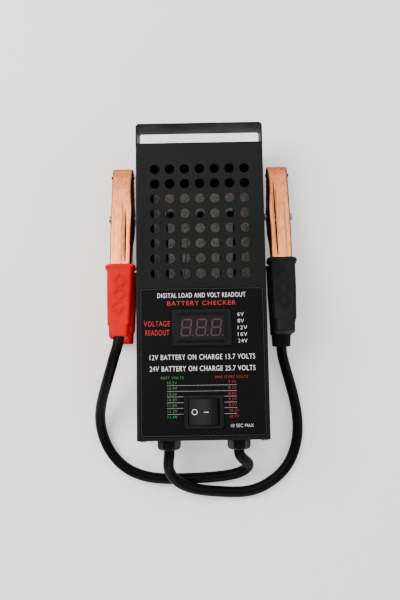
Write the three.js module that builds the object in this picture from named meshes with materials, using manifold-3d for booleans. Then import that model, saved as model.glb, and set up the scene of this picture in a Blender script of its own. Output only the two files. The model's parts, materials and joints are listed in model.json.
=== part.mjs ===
// Hand-held battery load tester lying on its back, with two heavy leads and spring clamps.
// Millimetres. +X right, +Y towards the carrying handle, +Z out of the front panel.
// Inside the tester group, y = 0 is the bottom edge of the case and z = 0 its back.
import * as THREE from "three";
import { mergeVertices } from "three/addons/utils/BufferGeometryUtils.js";
import Module from "manifold-3d";

const wasm = await Module();
wasm.setup();

// ---------------------------------------------------------------- driving dimensions
const CASE = { width: 107, height: 260, depth: 60, sheet: 1.2, bend: 2 };
const HANDLE = { panelTop: 243, loopDepth: 35, cornerRadius: 3 };
const GRILLE = { columns: 7, rows: 8, pitch: 12.5, hole: 8, firstX: -37.5, firstY: 133 };
const LABEL = { left: -50.5, right: 51, bottom: 2.8, top: 121.3, thick: 0.4, corner: 3 };
const METER = { x: 0, y: 89, width: 48, height: 29, flange: 2.2, barrel: 21 };
const SWITCH = { x: 0.5, y: 22.3, width: 31.5, height: 25.5, flange: 2.2, barrel: 26 };
const ROCKER = { length: 24, width: 19.8, tilt: 12, pivotDepth: 1.5 };
const ELEMENT = {
  pitch: 11.3, topGap: 0.5, bottomGap: 3.2, left: -39.2, right: 41.6, y0: 121, y1: 204, z: 46,
};
const GLAND = { x: 29, z: 30, across: 20, reach: 11 };
const LEAD = { diameter: 9, gap: 0.3 };
const CLAMP = {
  jaw: 46, arm: 92, halfAngle: 7.5, width: 18.5, innerWidth: 15.4, sheet: 1.2,
  spine: 13.5, channel: 9.5, pin: 4, head: 3.1, ear: 6.5, sleeve: 1.8, hingeY: 184.5,
  flare: 1.5, innerFlare: 0.8,
};
// How far below the hinge each clamp's sleeves start and end.
const SLEEVES = {
  positive: { rim: 46.5, leadEnd: 108.8, freeEnd: 108.8 },
  negative: { rim: 42.7, leadEnd: 113, freeEnd: 106.5 },
};
const GAP = 0.3;
const BOX_CENTRE_Y = (CASE.height - GLAND.reach) / 2;

const rad = THREE.MathUtils.degToRad;
const halfWidth = CASE.width / 2;

// ---------------------------------------------------------------- materials
const finish = (color, roughness, metalness) => ({ color, roughness, metalness });
const PAINT = finish(0x2b2c2f, 0.5, 0.2);
const OVERLAY = finish(0x17181a, 0.3, 0);
const PLASTIC = finish(0x1b1c1e, 0.45, 0);
const DISPLAY = finish(0x3a2f31, 0.4, 0);
const BOARD = finish(0x2f5a3c, 0.6, 0);
const STEEL = finish(0x9a9ca0, 0.35, 1);
const BLACK_STEEL = finish(0x2a2a2c, 0.4, 0.8);
const BRASS = finish(0xc9a85a, 0.35, 1);
const ELEMENT_STEEL = finish(0x5a5552, 0.6, 0.7);
const MICA = finish(0x4a3d2e, 0.7, 0);
const COPPER = finish(0xe8a886, 0.28, 1);
const RUBBER = finish(0x1d1e20, 0.65, 0);
const RED_PVC = finish(0xd92a22, 0.4, 0);
const BLACK_PVC = finish(0x222325, 0.45, 0);

// ---------------------------------------------------------------- solids
function solid(geometry) {
  const bare = geometry.index ? geometry.toNonIndexed() : geometry.clone();
  for (const name of Object.keys(bare.attributes)) {
    if (name !== "position") {
      bare.deleteAttribute(name);
    }
  }
  const merged = mergeVertices(bare, 1e-4);
  return new wasm.Manifold(new wasm.Mesh({
    numProp: 3,
    vertProperties: new Float32Array(merged.attributes.position.array),
    triVerts: new Uint32Array(merged.index.array),
  }));
}

function toGeometry(body) {
  const mesh = body.getMesh();
  const geometry = new THREE.BufferGeometry();
  geometry.setAttribute("position", new THREE.BufferAttribute(mesh.vertProperties, 3));
  geometry.setIndex(new THREE.BufferAttribute(mesh.triVerts, 1));
  geometry.computeVertexNormals();
  return geometry;
}

function box(x0, x1, y0, y1, z0, z1) {
  const geometry = new THREE.BoxGeometry(x1 - x0, y1 - y0, z1 - z0);
  geometry.translate((x0 + x1) / 2, (y0 + y1) / 2, (z0 + z1) / 2);
  return solid(geometry);
}

// A bar along one axis from a to b; the other two coordinates are its centre, in x, y, z order.
function rod(axis, radius, a, b, centre, segments = 24) {
  const geometry = new THREE.CylinderGeometry(radius, radius, b - a, segments);
  const middle = (a + b) / 2;
  if (axis === "x") {
    geometry.rotateZ(Math.PI / 2);
    geometry.translate(middle, centre[0], centre[1]);
  } else if (axis === "y") {
    geometry.translate(centre[0], middle, centre[1]);
  } else {
    geometry.rotateX(Math.PI / 2);
    geometry.translate(centre[0], centre[1], middle);
  }
  return solid(geometry);
}

function outline(points) {
  return new THREE.Shape(points.map(([a, b]) => new THREE.Vector2(a, b)));
}

function roundedRectangle(x0, x1, y0, y1, upper, lower = upper) {
  const shape = new THREE.Shape();
  shape.moveTo(x0 + lower, y0);
  shape.lineTo(x1 - lower, y0);
  shape.absarc(x1 - lower, y0 + lower, lower, -Math.PI / 2, 0);
  shape.lineTo(x1, y1 - upper);
  shape.absarc(x1 - upper, y1 - upper, upper, 0, Math.PI / 2);
  shape.lineTo(x0 + upper, y1);
  shape.absarc(x0 + upper, y1 - upper, upper, Math.PI / 2, Math.PI);
  shape.lineTo(x0, y0 + lower);
  shape.absarc(x0 + lower, y0 + lower, lower, Math.PI, Math.PI * 1.5);
  return shape;
}

function extrudeZ(shape, z0, z1, curveSegments = 4) {
  const settings = { depth: z1 - z0, bevelEnabled: false, curveSegments };
  const geometry = new THREE.ExtrudeGeometry(shape, settings);
  geometry.translate(0, 0, z0);
  return solid(geometry);
}

// The shape's two coordinates become x and z, and it runs from y0 to y1.
function extrudeY(shape, y0, y1, curveSegments = 4) {
  const settings = { depth: y1 - y0, bevelEnabled: false, curveSegments };
  const geometry = new THREE.ExtrudeGeometry(shape, settings);
  geometry.rotateX(Math.PI / 2);
  geometry.translate(0, y1, 0);
  return solid(geometry);
}

// The shape's two coordinates become y and z, and it runs from x0 to x1.
function extrudeX(shape, x0, x1, curveSegments = 4) {
  const settings = { depth: x1 - x0, bevelEnabled: false, curveSegments };
  const geometry = new THREE.ExtrudeGeometry(shape, settings);
  geometry.rotateX(Math.PI / 2);
  geometry.rotateZ(Math.PI / 2);
  geometry.translate(x0, 0, 0);
  return solid(geometry);
}

function hexagon(across) {
  const corners = [];
  for (let i = 0; i < 6; i += 1) {
    const angle = (i * Math.PI) / 3;
    corners.push([(across / 2) * Math.cos(angle), (across / 2) * Math.sin(angle)]);
  }
  return corners;
}

function union(bodies) {
  return bodies.reduce((sum, body) => sum.add(body));
}

function cut(body, tools) {
  return tools.reduce((rest, tool) => rest.subtract(tool), body);
}

const tester = new THREE.Group();
tester.position.y = -BOX_CENTRE_Y;

function part(name, body, look, parent = tester) {
  const geometry = body instanceof THREE.BufferGeometry ? body : toGeometry(body);
  const mesh = new THREE.Mesh(geometry, new THREE.MeshStandardMaterial(look));
  mesh.name = name;
  parent.add(mesh);
  return mesh;
}

// ---------------------------------------------------------------- case
const REAR_SLOTS = { count: 6, firstY: 28.75 };
const GLAND_HOLE = 7.1;
const SIDE_SCREWS = [[34, 9], [205, 9]];
const BOTTOM_SCREWS = { x: 49, z: 53 };
const screwHole = 1.8;

function frontCover() {
  const { width, height, depth, sheet, bend } = CASE;
  const corner = HANDLE.cornerRadius;
  const w = halfWidth;
  const plan = roundedRectangle(-w, w, 0, height, corner, 0.6);
  const end = roundedRectangle(-w, w, -20, depth, bend);
  const side = roundedRectangle(0, height + 20, -20, depth, bend);
  const outer = extrudeZ(plan, 0, depth)
    .intersect(extrudeY(end, -1, height + 1))
    .intersect(extrudeX(side, -w - 1, w + 1));
  const innerPlan = roundedRectangle(
    -w + sheet, w - sheet, sheet, height - sheet, corner - sheet, 0.1,
  );
  const innerEnd = roundedRectangle(-w + sheet, w - sheet, -20, depth - sheet, bend - sheet);
  const inner = extrudeZ(innerPlan, -1, depth).intersect(extrudeY(innerEnd, 0, height));
  const slot = extrudeZ(innerPlan, -1, depth + 1)
    .intersect(box(-width, width, HANDLE.panelTop, height, -1, depth + 1));
  const loopBack = depth - HANDLE.loopDepth;
  const handleStep = extrudeX(outline([
    [240.5, -1], [height + 5, -1], [height + 5, loopBack], [248, loopBack], [240.5, 12],
  ]), -width, width);
  const underFlange = box(-w + sheet, w - sheet, -1, sheet + 0.2, -1, 46);
  const holes = [];
  for (let row = 0; row < GRILLE.rows; row += 1) {
    for (let column = 0; column < GRILLE.columns; column += 1) {
      const x = GRILLE.firstX + column * GRILLE.pitch;
      const y = GRILLE.firstY + row * GRILLE.pitch;
      holes.push(rod("z", GRILLE.hole / 2, depth - 3, depth + 1, [x, y], 12));
    }
  }
  holes.push(windowCut(METER, 46.2, 27));
  holes.push(windowCut(SWITCH, 28.6, 22.6));
  for (const [y, z] of SIDE_SCREWS) {
    holes.push(rod("x", screwHole, -w - 1, -w + 3, [y, z], 12));
    holes.push(rod("x", screwHole, w - 3, w + 1, [y, z], 12));
  }
  for (const x of [-BOTTOM_SCREWS.x, BOTTOM_SCREWS.x]) {
    holes.push(rod("y", screwHole, -1, 2, [x, BOTTOM_SCREWS.z], 12));
  }
  return cut(outer, [inner, slot, handleStep, underFlange, union(holes)]);
}

function windowCut(item, width, height) {
  const { x, y } = item;
  return box(x - width / 2, x + width / 2, y - height / 2, y + height / 2, 50, 70);
}

// A pan that slides inside the front cover: back, bottom wall, top wall and low side flanges.
function rearCover() {
  const { sheet, depth } = CASE;
  const x = halfWidth - sheet - GAP;
  const y0 = sheet + GAP;
  const y1 = HANDLE.panelTop - 0.8;
  const top = depth - sheet - GAP;
  const outer = extrudeX(roundedRectangle(y0, y1, 0, top + 20, 1.6), -x, x)
    .intersect(box(-60, 60, 0, 260, 0, top));
  const inner = box(-x + sheet, x - sheet, y0 + sheet, y1 - sheet, sheet, 80);
  const sideCut = [
    box(-60, -x + sheet, y0 + sheet, y1 - sheet, 16, 80),
    box(x - sheet, 60, y0 + sheet, y1 - sheet, 16, 80),
  ];
  const holes = [];
  for (const gx of [-GLAND.x, GLAND.x]) {
    holes.push(rod("y", GLAND_HOLE, -1, 6, [gx, GLAND.z], 24));
  }
  for (const [y, z] of SIDE_SCREWS) {
    holes.push(rod("x", screwHole, -60, -x + 3, [y, z], 12));
    holes.push(rod("x", screwHole, x - 3, 60, [y, z], 12));
  }
  for (const sx of [-BOTTOM_SCREWS.x, BOTTOM_SCREWS.x]) {
    holes.push(rod("y", screwHole, -1, 6, [sx, BOTTOM_SCREWS.z], 12));
  }
  for (let row = 0; row < REAR_SLOTS.count; row += 1) {
    const y = REAR_SLOTS.firstY + row * GRILLE.pitch;
    holes.push(extrudeZ(roundedRectangle(-34, 34, y - 2.5, y + 2.5, 2.5), -1, 3, 3));
  }
  return cut(outer, [inner, ...sideCut, union(holes)]);
}

function facePlate() {
  const z0 = CASE.depth;
  const sheet = roundedRectangle(LABEL.left, LABEL.right, LABEL.bottom, LABEL.top, LABEL.corner);
  const cutOut = (item) => box(
    item.x - item.width / 2 - GAP, item.x + item.width / 2 + GAP,
    item.y - item.height / 2 - GAP, item.y + item.height / 2 + GAP, 50, 70,
  );
  return cut(extrudeZ(sheet, z0, z0 + LABEL.thick), [cutOut(METER), cutOut(SWITCH)]);
}

// Pan-head screw along +Y with its head below y = 0; turned into place by its mesh.
function screw(shank) {
  const profile = [
    [0, shank], [1.4, shank], [1.4, 0], [3.2, 0], [3.2, -0.9], [1.8, -1.8], [0, -1.8],
  ].map(([r, h]) => new THREE.Vector2(r, h)).reverse();
  return toGeometry(solid(new THREE.LatheGeometry(profile, 10)));
}

part("front_cover", frontCover(), PAINT);
part("rear_cover", rearCover(), PAINT);
part("faceplate_label", facePlate(), OVERLAY);
for (const [i, [y, z]] of SIDE_SCREWS.entries()) {
  const right = part(`side_screw_right_${i + 1}`, screw(5), BLACK_STEEL);
  right.rotation.z = Math.PI / 2;
  right.position.set(halfWidth, y, z);
  const left = part(`side_screw_left_${i + 1}`, screw(5), BLACK_STEEL);
  left.rotation.z = -Math.PI / 2;
  left.position.set(-halfWidth, y, z);
}
for (const [side, x] of [["left", -BOTTOM_SCREWS.x], ["right", BOTTOM_SCREWS.x]]) {
  part(`bottom_screw_${side}`, screw(5), STEEL).position.set(x, 0, BOTTOM_SCREWS.z);
}

// ---------------------------------------------------------------- digital meter
function meterBezel() {
  const { x, y, width, height, flange, barrel } = METER;
  const z = CASE.depth;
  const plate = extrudeZ(
    roundedRectangle(x - width / 2, x + width / 2, y - height / 2, y + height / 2, 1), z, z + flange,
  );
  const shroud = box(x - 22.8, x + 22.8, y - 13.2, y + 13.2, z - barrel, z + 0.1);
  const cavity = box(x - 21.8, x + 21.8, y - 12.2, y + 12.2, z - barrel - 1, z - 0.7);
  const taper = new THREE.CylinderGeometry(Math.SQRT1_2, Math.SQRT1_2 * 0.85, 4.4, 4, 1);
  taper.rotateY(Math.PI / 4);
  taper.rotateX(Math.PI / 2);
  taper.scale(42, 23, 1);
  taper.translate(x, y, z + 0.6);
  return cut(plate.add(shroud), [cavity, solid(taper)]);
}

function meterDisplay() {
  const { x, y } = METER;
  return box(x - 19.5, x + 19.5, y - 10.2, y + 10.2, CASE.depth - 9, CASE.depth - 1);
}

function meterBoard() {
  const { x, y } = METER;
  return box(x - 21.5, x + 21.5, y - 11.9, y + 11.9, CASE.depth - 13, CASE.depth - 11.4);
}

part("meter_bezel", meterBezel(), PLASTIC);
part("meter_display_block", meterDisplay(), DISPLAY);
part("meter_circuit_board", meterBoard(), BOARD);

// ---------------------------------------------------------------- rocker switch
const pivotZ = CASE.depth - ROCKER.pivotDepth;

function switchHousing() {
  const { x, y, width, height, flange, barrel } = SWITCH;
  const z = CASE.depth;
  const plate = extrudeZ(
    roundedRectangle(x - width / 2, x + width / 2, y - height / 2, y + height / 2, 1.2), z, z + flange,
  );
  const shell = box(x - 14, x + 14, y - 11, y + 11, z - barrel, z + 0.1);
  const cavity = box(x - 12.4, x + 12.4, y - 10.2, y + 10.2, z - barrel + 2, z + 5);
  const trunnion = rod("y", 1.8, y - 10.9, y + 10.9, [x, pivotZ], 16);
  const slots = [-8, 0, 8].map((dx) => (
    box(x + dx - 0.7, x + dx + 0.7, y - 3.5, y + 3.5, z - barrel - 1, z - barrel + 3)
  ));
  return cut(plate.add(shell), [cavity, trunnion, ...slots]);
}

// The rocker's side view in its level position, with the pivot at the origin.
function rockerBody() {
  const half = ROCKER.length / 2;
  const side = outline([
    [-half, -1], [-10, -4.6], [-3.4, -5.2], [-3.4, -9.8], [3.4, -9.8], [3.4, -5.2], [10, -4.6],
    [half, -1], [7, 6.3], [3.6, 5.4], [-1, 4.9], [-6, 4.9], [-11.1, 5.5],
  ]);
  const w = ROCKER.width / 2;
  const body = extrudeY(side, -w, w);
  const boss = box(-5, 5, -w - 1, -3.4, -12, -5.3).add(box(-5, 5, 3.4, w + 1, -12, -5.3));
  const bore = rod("z", 2.2, -12, -3, [0, 0], 16);
  return cut(body.add(rod("y", 1.5, -10.7, 10.7, [0, 0], 16)), [boss, bore]);
}

const rockerGroup = new THREE.Group();
rockerGroup.position.set(SWITCH.x, SWITCH.y, pivotZ);
rockerGroup.rotation.y = -rad(ROCKER.tilt);
tester.add(rockerGroup);
part("rocker", rockerBody(), PLASTIC, rockerGroup);
part("switch_spring", cut(rod("z", 1.8, -6.2, -3.3, [0, 0], 16), [
  rod("z", 1.1, -7, -2, [0, 0], 16),
]), STEEL, rockerGroup);
part("switch_plunger", rod("z", 1.8, -11.8, -6.5, [0, 0], 16).add(
  rod("z", 1, -12.9, -11.8, [0, 0], 16),
), BRASS, rockerGroup);
part("switch_housing", switchHousing(), PLASTIC);

const contactGroup = new THREE.Group();
contactGroup.position.set(SWITCH.x, SWITCH.y, pivotZ - 14);
contactGroup.rotation.y = rad(ROCKER.tilt / 2);
tester.add(contactGroup);
part("switch_contact_arm", box(-9, 9, -3, 3, -0.1, 0.7), BRASS, contactGroup);
for (const [i, dx] of [-8, 0, 8].entries()) {
  const top = i === 1 ? pivotZ - 14.5 : pivotZ - 17;
  const x = SWITCH.x + dx;
  const tab = box(x - 0.4, x + 0.4, SWITCH.y - 3.1, SWITCH.y + 3.1, 25, top);
  part(`switch_terminal_${i + 1}`, tab, BRASS);
}

// ---------------------------------------------------------------- load element
const UPPER_BOLT_Y = 183;
const LOWER_BOLT_Y = 125;

// One stamped panel of tapering legs, joined across both ends, with its two bolt holes.
function elementPanel(legs, boltX) {
  const { pitch, topGap, bottomGap, left, right, y0, y1, z } = ELEMENT;
  const top = (pitch - topGap) / 2;
  const low = (pitch - bottomGap) / 2;
  const strips = legs.map((leg) => {
    const x = leg * pitch;
    const [a, b] = leg === -3 ? [left, left] : [x - low, x - top];
    const [c, d] = leg === 3 ? [right, right] : [x + low, x + top];
    return extrudeZ(outline([[a, y0], [c, y0], [d, y1], [b, y1]]), z, z + 0.8);
  });
  const first = Math.max(legs[0] * pitch - low, left);
  const last = legs[legs.length - 1] * pitch + low;
  const ends = [
    box(first, last, y0, y0 + 6, z, z + 0.8),
    box(first, last, y1 - 8, y1, z, z + 0.8),
  ];
  const holes = [UPPER_BOLT_Y, LOWER_BOLT_Y].map((y) => (
    rod("z", 1.8, z - 2, z + 2, [boltX, y], 16)
  ));
  return cut(union([...strips, ...ends]), holes);
}

// An insulating board across the case, carried on two feet that stand on the rear cover.
function insulatorBar(y) {
  const board = box(-49, 49, y - 8, y + 8, 38.5, 42);
  const feet = [-45.5, 45.5].map((x) => box(x - 3, x + 3, y - 6, y + 6, CASE.sheet + 0.05, 39));
  const holes = [-25, 0, 25].map((x) => rod("z", 2.3, 30, 50, [x, y], 16));
  return cut(union([board, ...feet]), holes);
}

function busBar(y, x0, x1) {
  const holes = [-25, 0, 25].map((x) => rod("z", 2.3, 40, 50, [x, y], 16));
  return cut(box(x0, x1, y - 5, y + 5, 43.9, 45.6), holes);
}

const boltPlaces = [-25, 0, 25];
for (const [i, legs] of [[-3, -2], [-1, 0, 1], [2, 3]].entries()) {
  part(`load_element_${i + 1}`, elementPanel(legs, boltPlaces[i]), ELEMENT_STEEL);
}
for (const [where, y] of [["upper", UPPER_BOLT_Y], ["lower", LOWER_BOLT_Y]]) {
  part(`insulator_bar_${where}`, insulatorBar(y), MICA);
  part(`bus_bar_${where}`, busBar(y, -42, 42), BRASS);
  for (const [i, x] of boltPlaces.entries()) {
    const bolt = part(`element_screw_${where}_${i + 1}`, screw(11), STEEL);
    bolt.rotation.x = -Math.PI / 2;
    bolt.position.set(x, y, ELEMENT.z + 0.9);
  }
}

// ---------------------------------------------------------------- lead exits
function glandBody(x) {
  const { z, across } = GLAND;
  const place = (corners) => outline(corners.map(([a, b]) => [a + x, b + z]));
  const flange = extrudeY(place(hexagon(across)), -3.4, 1.2);
  const shank = rod("y", 6.8, 1.1, 9, [x, z], 24);
  const neck = rod("y", 6, -6.9, -3.3, [x, z], 24);
  return cut(union([flange, shank, neck]), [rod("y", 4.8, -20, 20, [x, z], 24)]);
}

function glandNut(x) {
  const { z, across, reach } = GLAND;
  const hex = outline(hexagon(across - 0.6).map(([a, b]) => [a + x, b + z]));
  const dome = new THREE.CylinderGeometry(11, 7.6, reach - 3.7, 24);
  dome.translate(x, -(reach + 3.7) / 2, z);
  const nut = extrudeY(hex, -reach, -3.7).intersect(solid(dome));
  return cut(nut, [rod("y", 4.8, -20, 20, [x, z], 24), rod("y", 6.3, -7.2, 0, [x, z], 24)]);
}

function lockNut(x) {
  const hex = outline(hexagon(20).map(([a, b]) => [a + x, b + GLAND.z]));
  return cut(extrudeY(hex, 3, 7), [rod("y", 7.1, 0, 10, [x, GLAND.z], 24)]);
}

function tube(points, diameter, steps, sides = 10) {
  const curve = new THREE.CatmullRomCurve3(points.map((p) => new THREE.Vector3(...p)));
  const ring = new THREE.Shape();
  for (let i = 0; i < sides; i += 1) {
    const angle = (i / sides) * Math.PI * 2;
    const at = [(diameter / 2) * Math.cos(angle), (diameter / 2) * Math.sin(angle)];
    if (i === 0) {
      ring.moveTo(...at);
    } else {
      ring.lineTo(...at);
    }
  }
  return solid(new THREE.ExtrudeGeometry(ring, { extrudePath: curve, steps, bevelEnabled: false }));
}

for (const [side, x] of [["left", -GLAND.x], ["right", GLAND.x]]) {
  part(`gland_body_${side}`, glandBody(x), PLASTIC);
  part(`gland_nut_${side}`, glandNut(x), PLASTIC);
  part(`gland_locknut_${side}`, lockNut(x), PLASTIC);
}

const innerLeads = {
  left: [[-29, -10.7, 30], [-29, 4, 30], [-29, 20, 30], [-33, 50, 22], [-36, 78, 20],
    [-36, 102, 24], [-36, 118, 33.5]],
  right: [[29, -10.7, 30], [29, 4, 30], [29, 20, 28], [32, 50, 18], [36, 90, 14],
    [36, 130, 14], [36, 156, 20], [36, 172, 33]],
};
part("inner_lead_left", tube(innerLeads.left, 8, 16, 8), RUBBER);
part("inner_lead_right", tube(innerLeads.right, 8, 18, 8), RUBBER);

// ---------------------------------------------------------------- free leads
// Routes run from the gland to the clamp: out of the gland, down to the surface, and along it.
const LEADS = {
  positive: [
    [29, -11.3, 30], [29.2, -14.6, 29.7], [31, -18, 27.6], [34.2, -21.4, 23.2], [36.8, -24.8, 17.2],
    [35.8, -29, 11.2], [30.4, -33, 6.8], [20.4, -35.8, 4.9], [7, -37.2, 4.8], [-8, -37.9, 4.8],
    [-22, -38.2, 4.8], [-36, -37.9, 4.8], [-47, -36.6, 4.8], [-57.6, -33.6, 4.8],
    [-67.4, -28.6, 4.8], [-75.8, -21.2, 4.8], [-82, -12.8, 5], [-86, -4, 6.2], [-88.2, 5, 9],
    [-88.6, 14, 13.4], [-87.4, 22.5, 19.4], [-85, 31, 26.6], [-82, 39.5, 34.4],
    [-78.6, 48.5, 42], [-75.2, 57.8, 48.2], [-72.2, 67, 52.2], [-69.6, 75, 53.2],
    [-68.65, 81.4, 52.1], [-68.6, 89.4, 49.9], [-68.6, 97.3, 47.8],
  ],
  negative: [
    [-29, -11.3, 30], [-29.1, -15, 29.9], [-29.8, -20.6, 27.8], [-29.9, -26.2, 24.4],
    [-28.2, -31.8, 20.6], [-24.2, -37, 17.4], [-18.2, -41.6, 14.4], [-10, -45.2, 10.8],
    [0, -47.7, 6.9], [12, -49.1, 4.9], [24, -49.7, 4.8], [35, -49.3, 4.8], [46, -46.6, 4.8],
    [56, -41.6, 4.8], [65, -34.7, 4.8], [72, -26.2, 4.8], [76.8, -16.4, 4.8], [79.6, -6.2, 4.8],
    [80.6, 4, 4.8], [80.2, 14, 4.8], [78.6, 25, 4.8], [76.2, 36, 4.9], [73.4, 47, 5.2],
    [70.8, 57, 5.8], [69.1, 65, 6.4], [68.6, 72, 6.6], [68.6, 80, 6.6], [68.6, 91.9, 6.6],
  ],
};

// ---------------------------------------------------------------- clamps
// One clamp arm in its own frame: hinge at the origin, jaw towards +Y, grip towards -Y and
// level, the spine of the channel on top.
const beta = rad(CLAMP.halfAngle);

function jawPoint(along, above) {
  return [
    along * Math.cos(beta) - above * Math.sin(beta),
    along * Math.sin(beta) + above * Math.cos(beta),
  ];
}

// The room an arm takes ahead of its sleeve, where the walls lean outwards below the spine.
function flaredRoom(half, flare) {
  const { jaw, spine } = CLAMP;
  const points = [];
  for (const side of [-1, 1]) {
    for (const [y, lean, inset] of [[-36, 0, 0], [-18, flare, 0], [jaw - 4, flare, 0],
      [jaw + 2, flare, 1.6]]) {
      points.push([side * (half - inset), y, spine + 2], [side * (half - inset), y, spine]);
      points.push([side * (half + lean - inset), y, 0], [side * (half + lean - inset), y, -20]);
    }
  }
  return wasm.Manifold.hull(points);
}

function clampArm(width, flare) {
  const { jaw, arm, spine, channel, sheet, ear, pin } = CLAMP;
  const edge = [];
  for (let along = 19; along < jaw - 1; along += 4.5) {
    edge.push(jawPoint(along, 0.4), jawPoint(along + 2.25, 1.9));
  }
  const earArc = [];
  for (let i = 0; i <= 6; i += 1) {
    const angle = rad(200 + i * 22);
    earArc.push([ear * Math.cos(angle), ear * Math.sin(angle)]);
  }
  const sideView = outline([
    jawPoint(jaw, 0.4), jawPoint(jaw + 0.4, 2.4), jawPoint(jaw - 1, 4.4), [24, 12.9], [4, spine],
    [-arm, spine], [-arm, spine - channel], [-34, spine - channel], [-15, 0],
    ...earArc, jawPoint(10, 0.4), ...edge,
  ]);
  const inner = outline([
    jawPoint(jaw - 1.2, -20), jawPoint(jaw - 1.2, 2), jawPoint(jaw - 2.2, 4.4 - sheet),
    [24, 12.9 - sheet], [4, spine - sheet], [-arm - 1, spine - sheet], [-arm - 1, -20],
  ]);
  const half = width / 2;
  const endHalf = half - 2.6;
  const plan = outline([
    [-half + 1.6, jaw + 2], [-half, jaw - 4], [-half, -30], [-endHalf, -arm - 2],
    [endHalf, -arm - 2], [half, -30], [half, jaw - 4], [half - 1.6, jaw + 2],
  ]);
  const innerPlan = outline([
    [-half + sheet + 1.6, jaw + 2], [-half + sheet, jaw - 4], [-half + sheet, -30],
    [-endHalf + sheet, -arm - 2], [endHalf - sheet, -arm - 2], [half - sheet, -30],
    [half - sheet, jaw - 4], [half - sheet - 1.6, jaw + 2],
  ]);
  const wide = half + 4;
  const outer = extrudeX(sideView, -wide, wide)
    .intersect(union([extrudeZ(plan, -20, 20), flaredRoom(half, flare)]));
  const hollow = extrudeX(inner, -wide, wide)
    .intersect(union([extrudeZ(innerPlan, -20, 20), flaredRoom(half - sheet, flare)]));
  return cut(outer, [hollow, rod("x", pin / 2 + GAP, -20, 20, [0, 0], 16)]);
}

// Rings of rounded-rectangle section along Y, joined into one closed skin.
function loft(sections) {
  const sides = 16;
  const positions = [];
  for (const { y, w, z0, z1, round } of sections) {
    for (let i = 0; i < sides; i += 1) {
      const angle = ((i + 0.5) / sides) * Math.PI * 2;
      const c = Math.cos(angle);
      const s = Math.sin(angle);
      const x = Math.sign(c) * Math.abs(c) ** round * w;
      const z = Math.sign(s) * Math.abs(s) ** round * ((z1 - z0) / 2) + (z0 + z1) / 2;
      positions.push(x, y, z);
    }
  }
  const index = [];
  for (let k = 0; k + 1 < sections.length; k += 1) {
    for (let i = 0; i < sides; i += 1) {
      const a = k * sides + i;
      const b = k * sides + ((i + 1) % sides);
      index.push(a, b, a + sides, b, b + sides, a + sides);
    }
  }
  const last = (sections.length - 1) * sides;
  for (let i = 1; i + 1 < sides; i += 1) {
    index.push(0, i + 1, i);
    index.push(last, last + i, last + i + 1);
  }
  const geometry = new THREE.BufferGeometry();
  geometry.setAttribute("position", new THREE.BufferAttribute(new Float32Array(positions), 3));
  geometry.setIndex(index);
  const body = solid(geometry);
  return body.volume() > 0 ? body : solid(geometry.setIndex(flipped(index)));
}

function flipped(index) {
  return index.map((_, i) => index[i - (i % 3) + (2 - (i % 3))]);
}

// The grip sleeve around one arm's handle; the end that takes the lead is bored through.
function gripSleeve(bored, rim, grip) {
  const { spine, channel, sleeve, arm } = CLAMP;
  const high = spine + sleeve;
  const low = spine - channel - sleeve;
  const square = 0.35;
  const skin = loft([
    { y: -grip, w: 7.9, z0: low + 0.4, z1: high - 0.9, round: 0.6 },
    { y: -grip + 9.5, w: 8.3, z0: low + 0.2, z1: high - 0.6, round: 0.6 },
    { y: -grip + 10.5, w: 9.3, z0: low, z1: high, round: 0.45 },
    { y: -68, w: 10.8, z0: low, z1: high, round: square },
    { y: -rim - 3.6, w: 11.2, z0: low, z1: high, round: square },
    { y: -rim - 3.4, w: 12.9, z0: low - 0.6, z1: high, round: square },
    { y: -rim, w: 12.9, z0: low - 0.6, z1: high, round: square },
  ]);
  const room = 0.35;
  const pocket = loft([
    { y: -arm - room, w: 6.9, z0: low + sleeve - room, z1: high - sleeve + room, round: 0.12 },
    { y: -30, w: 9.8, z0: low + sleeve - room, z1: high - sleeve + room, round: 0.12 },
  ]);
  const bore = rod("y", LEAD.diameter / 2 + GAP, -grip - 1, -arm + 1, [0, (high + low) / 2], 20);
  return cut(skin, bored ? [pocket, bore] : [pocket]);
}

function hingePin() {
  const { width, pin, head, flare } = CLAMP;
  const seat = width / 2 + flare + GAP;
  const shank = rod("x", pin / 2, -seat - 0.1, seat + 0.1, [0, 0], 16);
  const heads = [
    rod("x", 3.3, seat, width / 2 + head, [0, 0], 16),
    rod("x", 3.3, -width / 2 - head, -seat, [0, 0], 16),
  ];
  return union([shank, ...heads]);
}

function torsionSpring() {
  const coil = rod("x", 4.6, -5.4, 5.4, [0, 0], 20).subtract(rod("x", 2.5, -7, 7, [0, 0], 20));
  return coil.add(box(-4.8, -3.2, -24, 0, 2.9, 4.5));
}

function crimpBarrel() {
  const { spine, channel, sheet } = CLAMP;
  const z = spine - channel / 2 - sheet / 2;
  return rod("y", 3.4, -CLAMP.arm + 0.2, -70, [0, z], 16);
}

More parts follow.
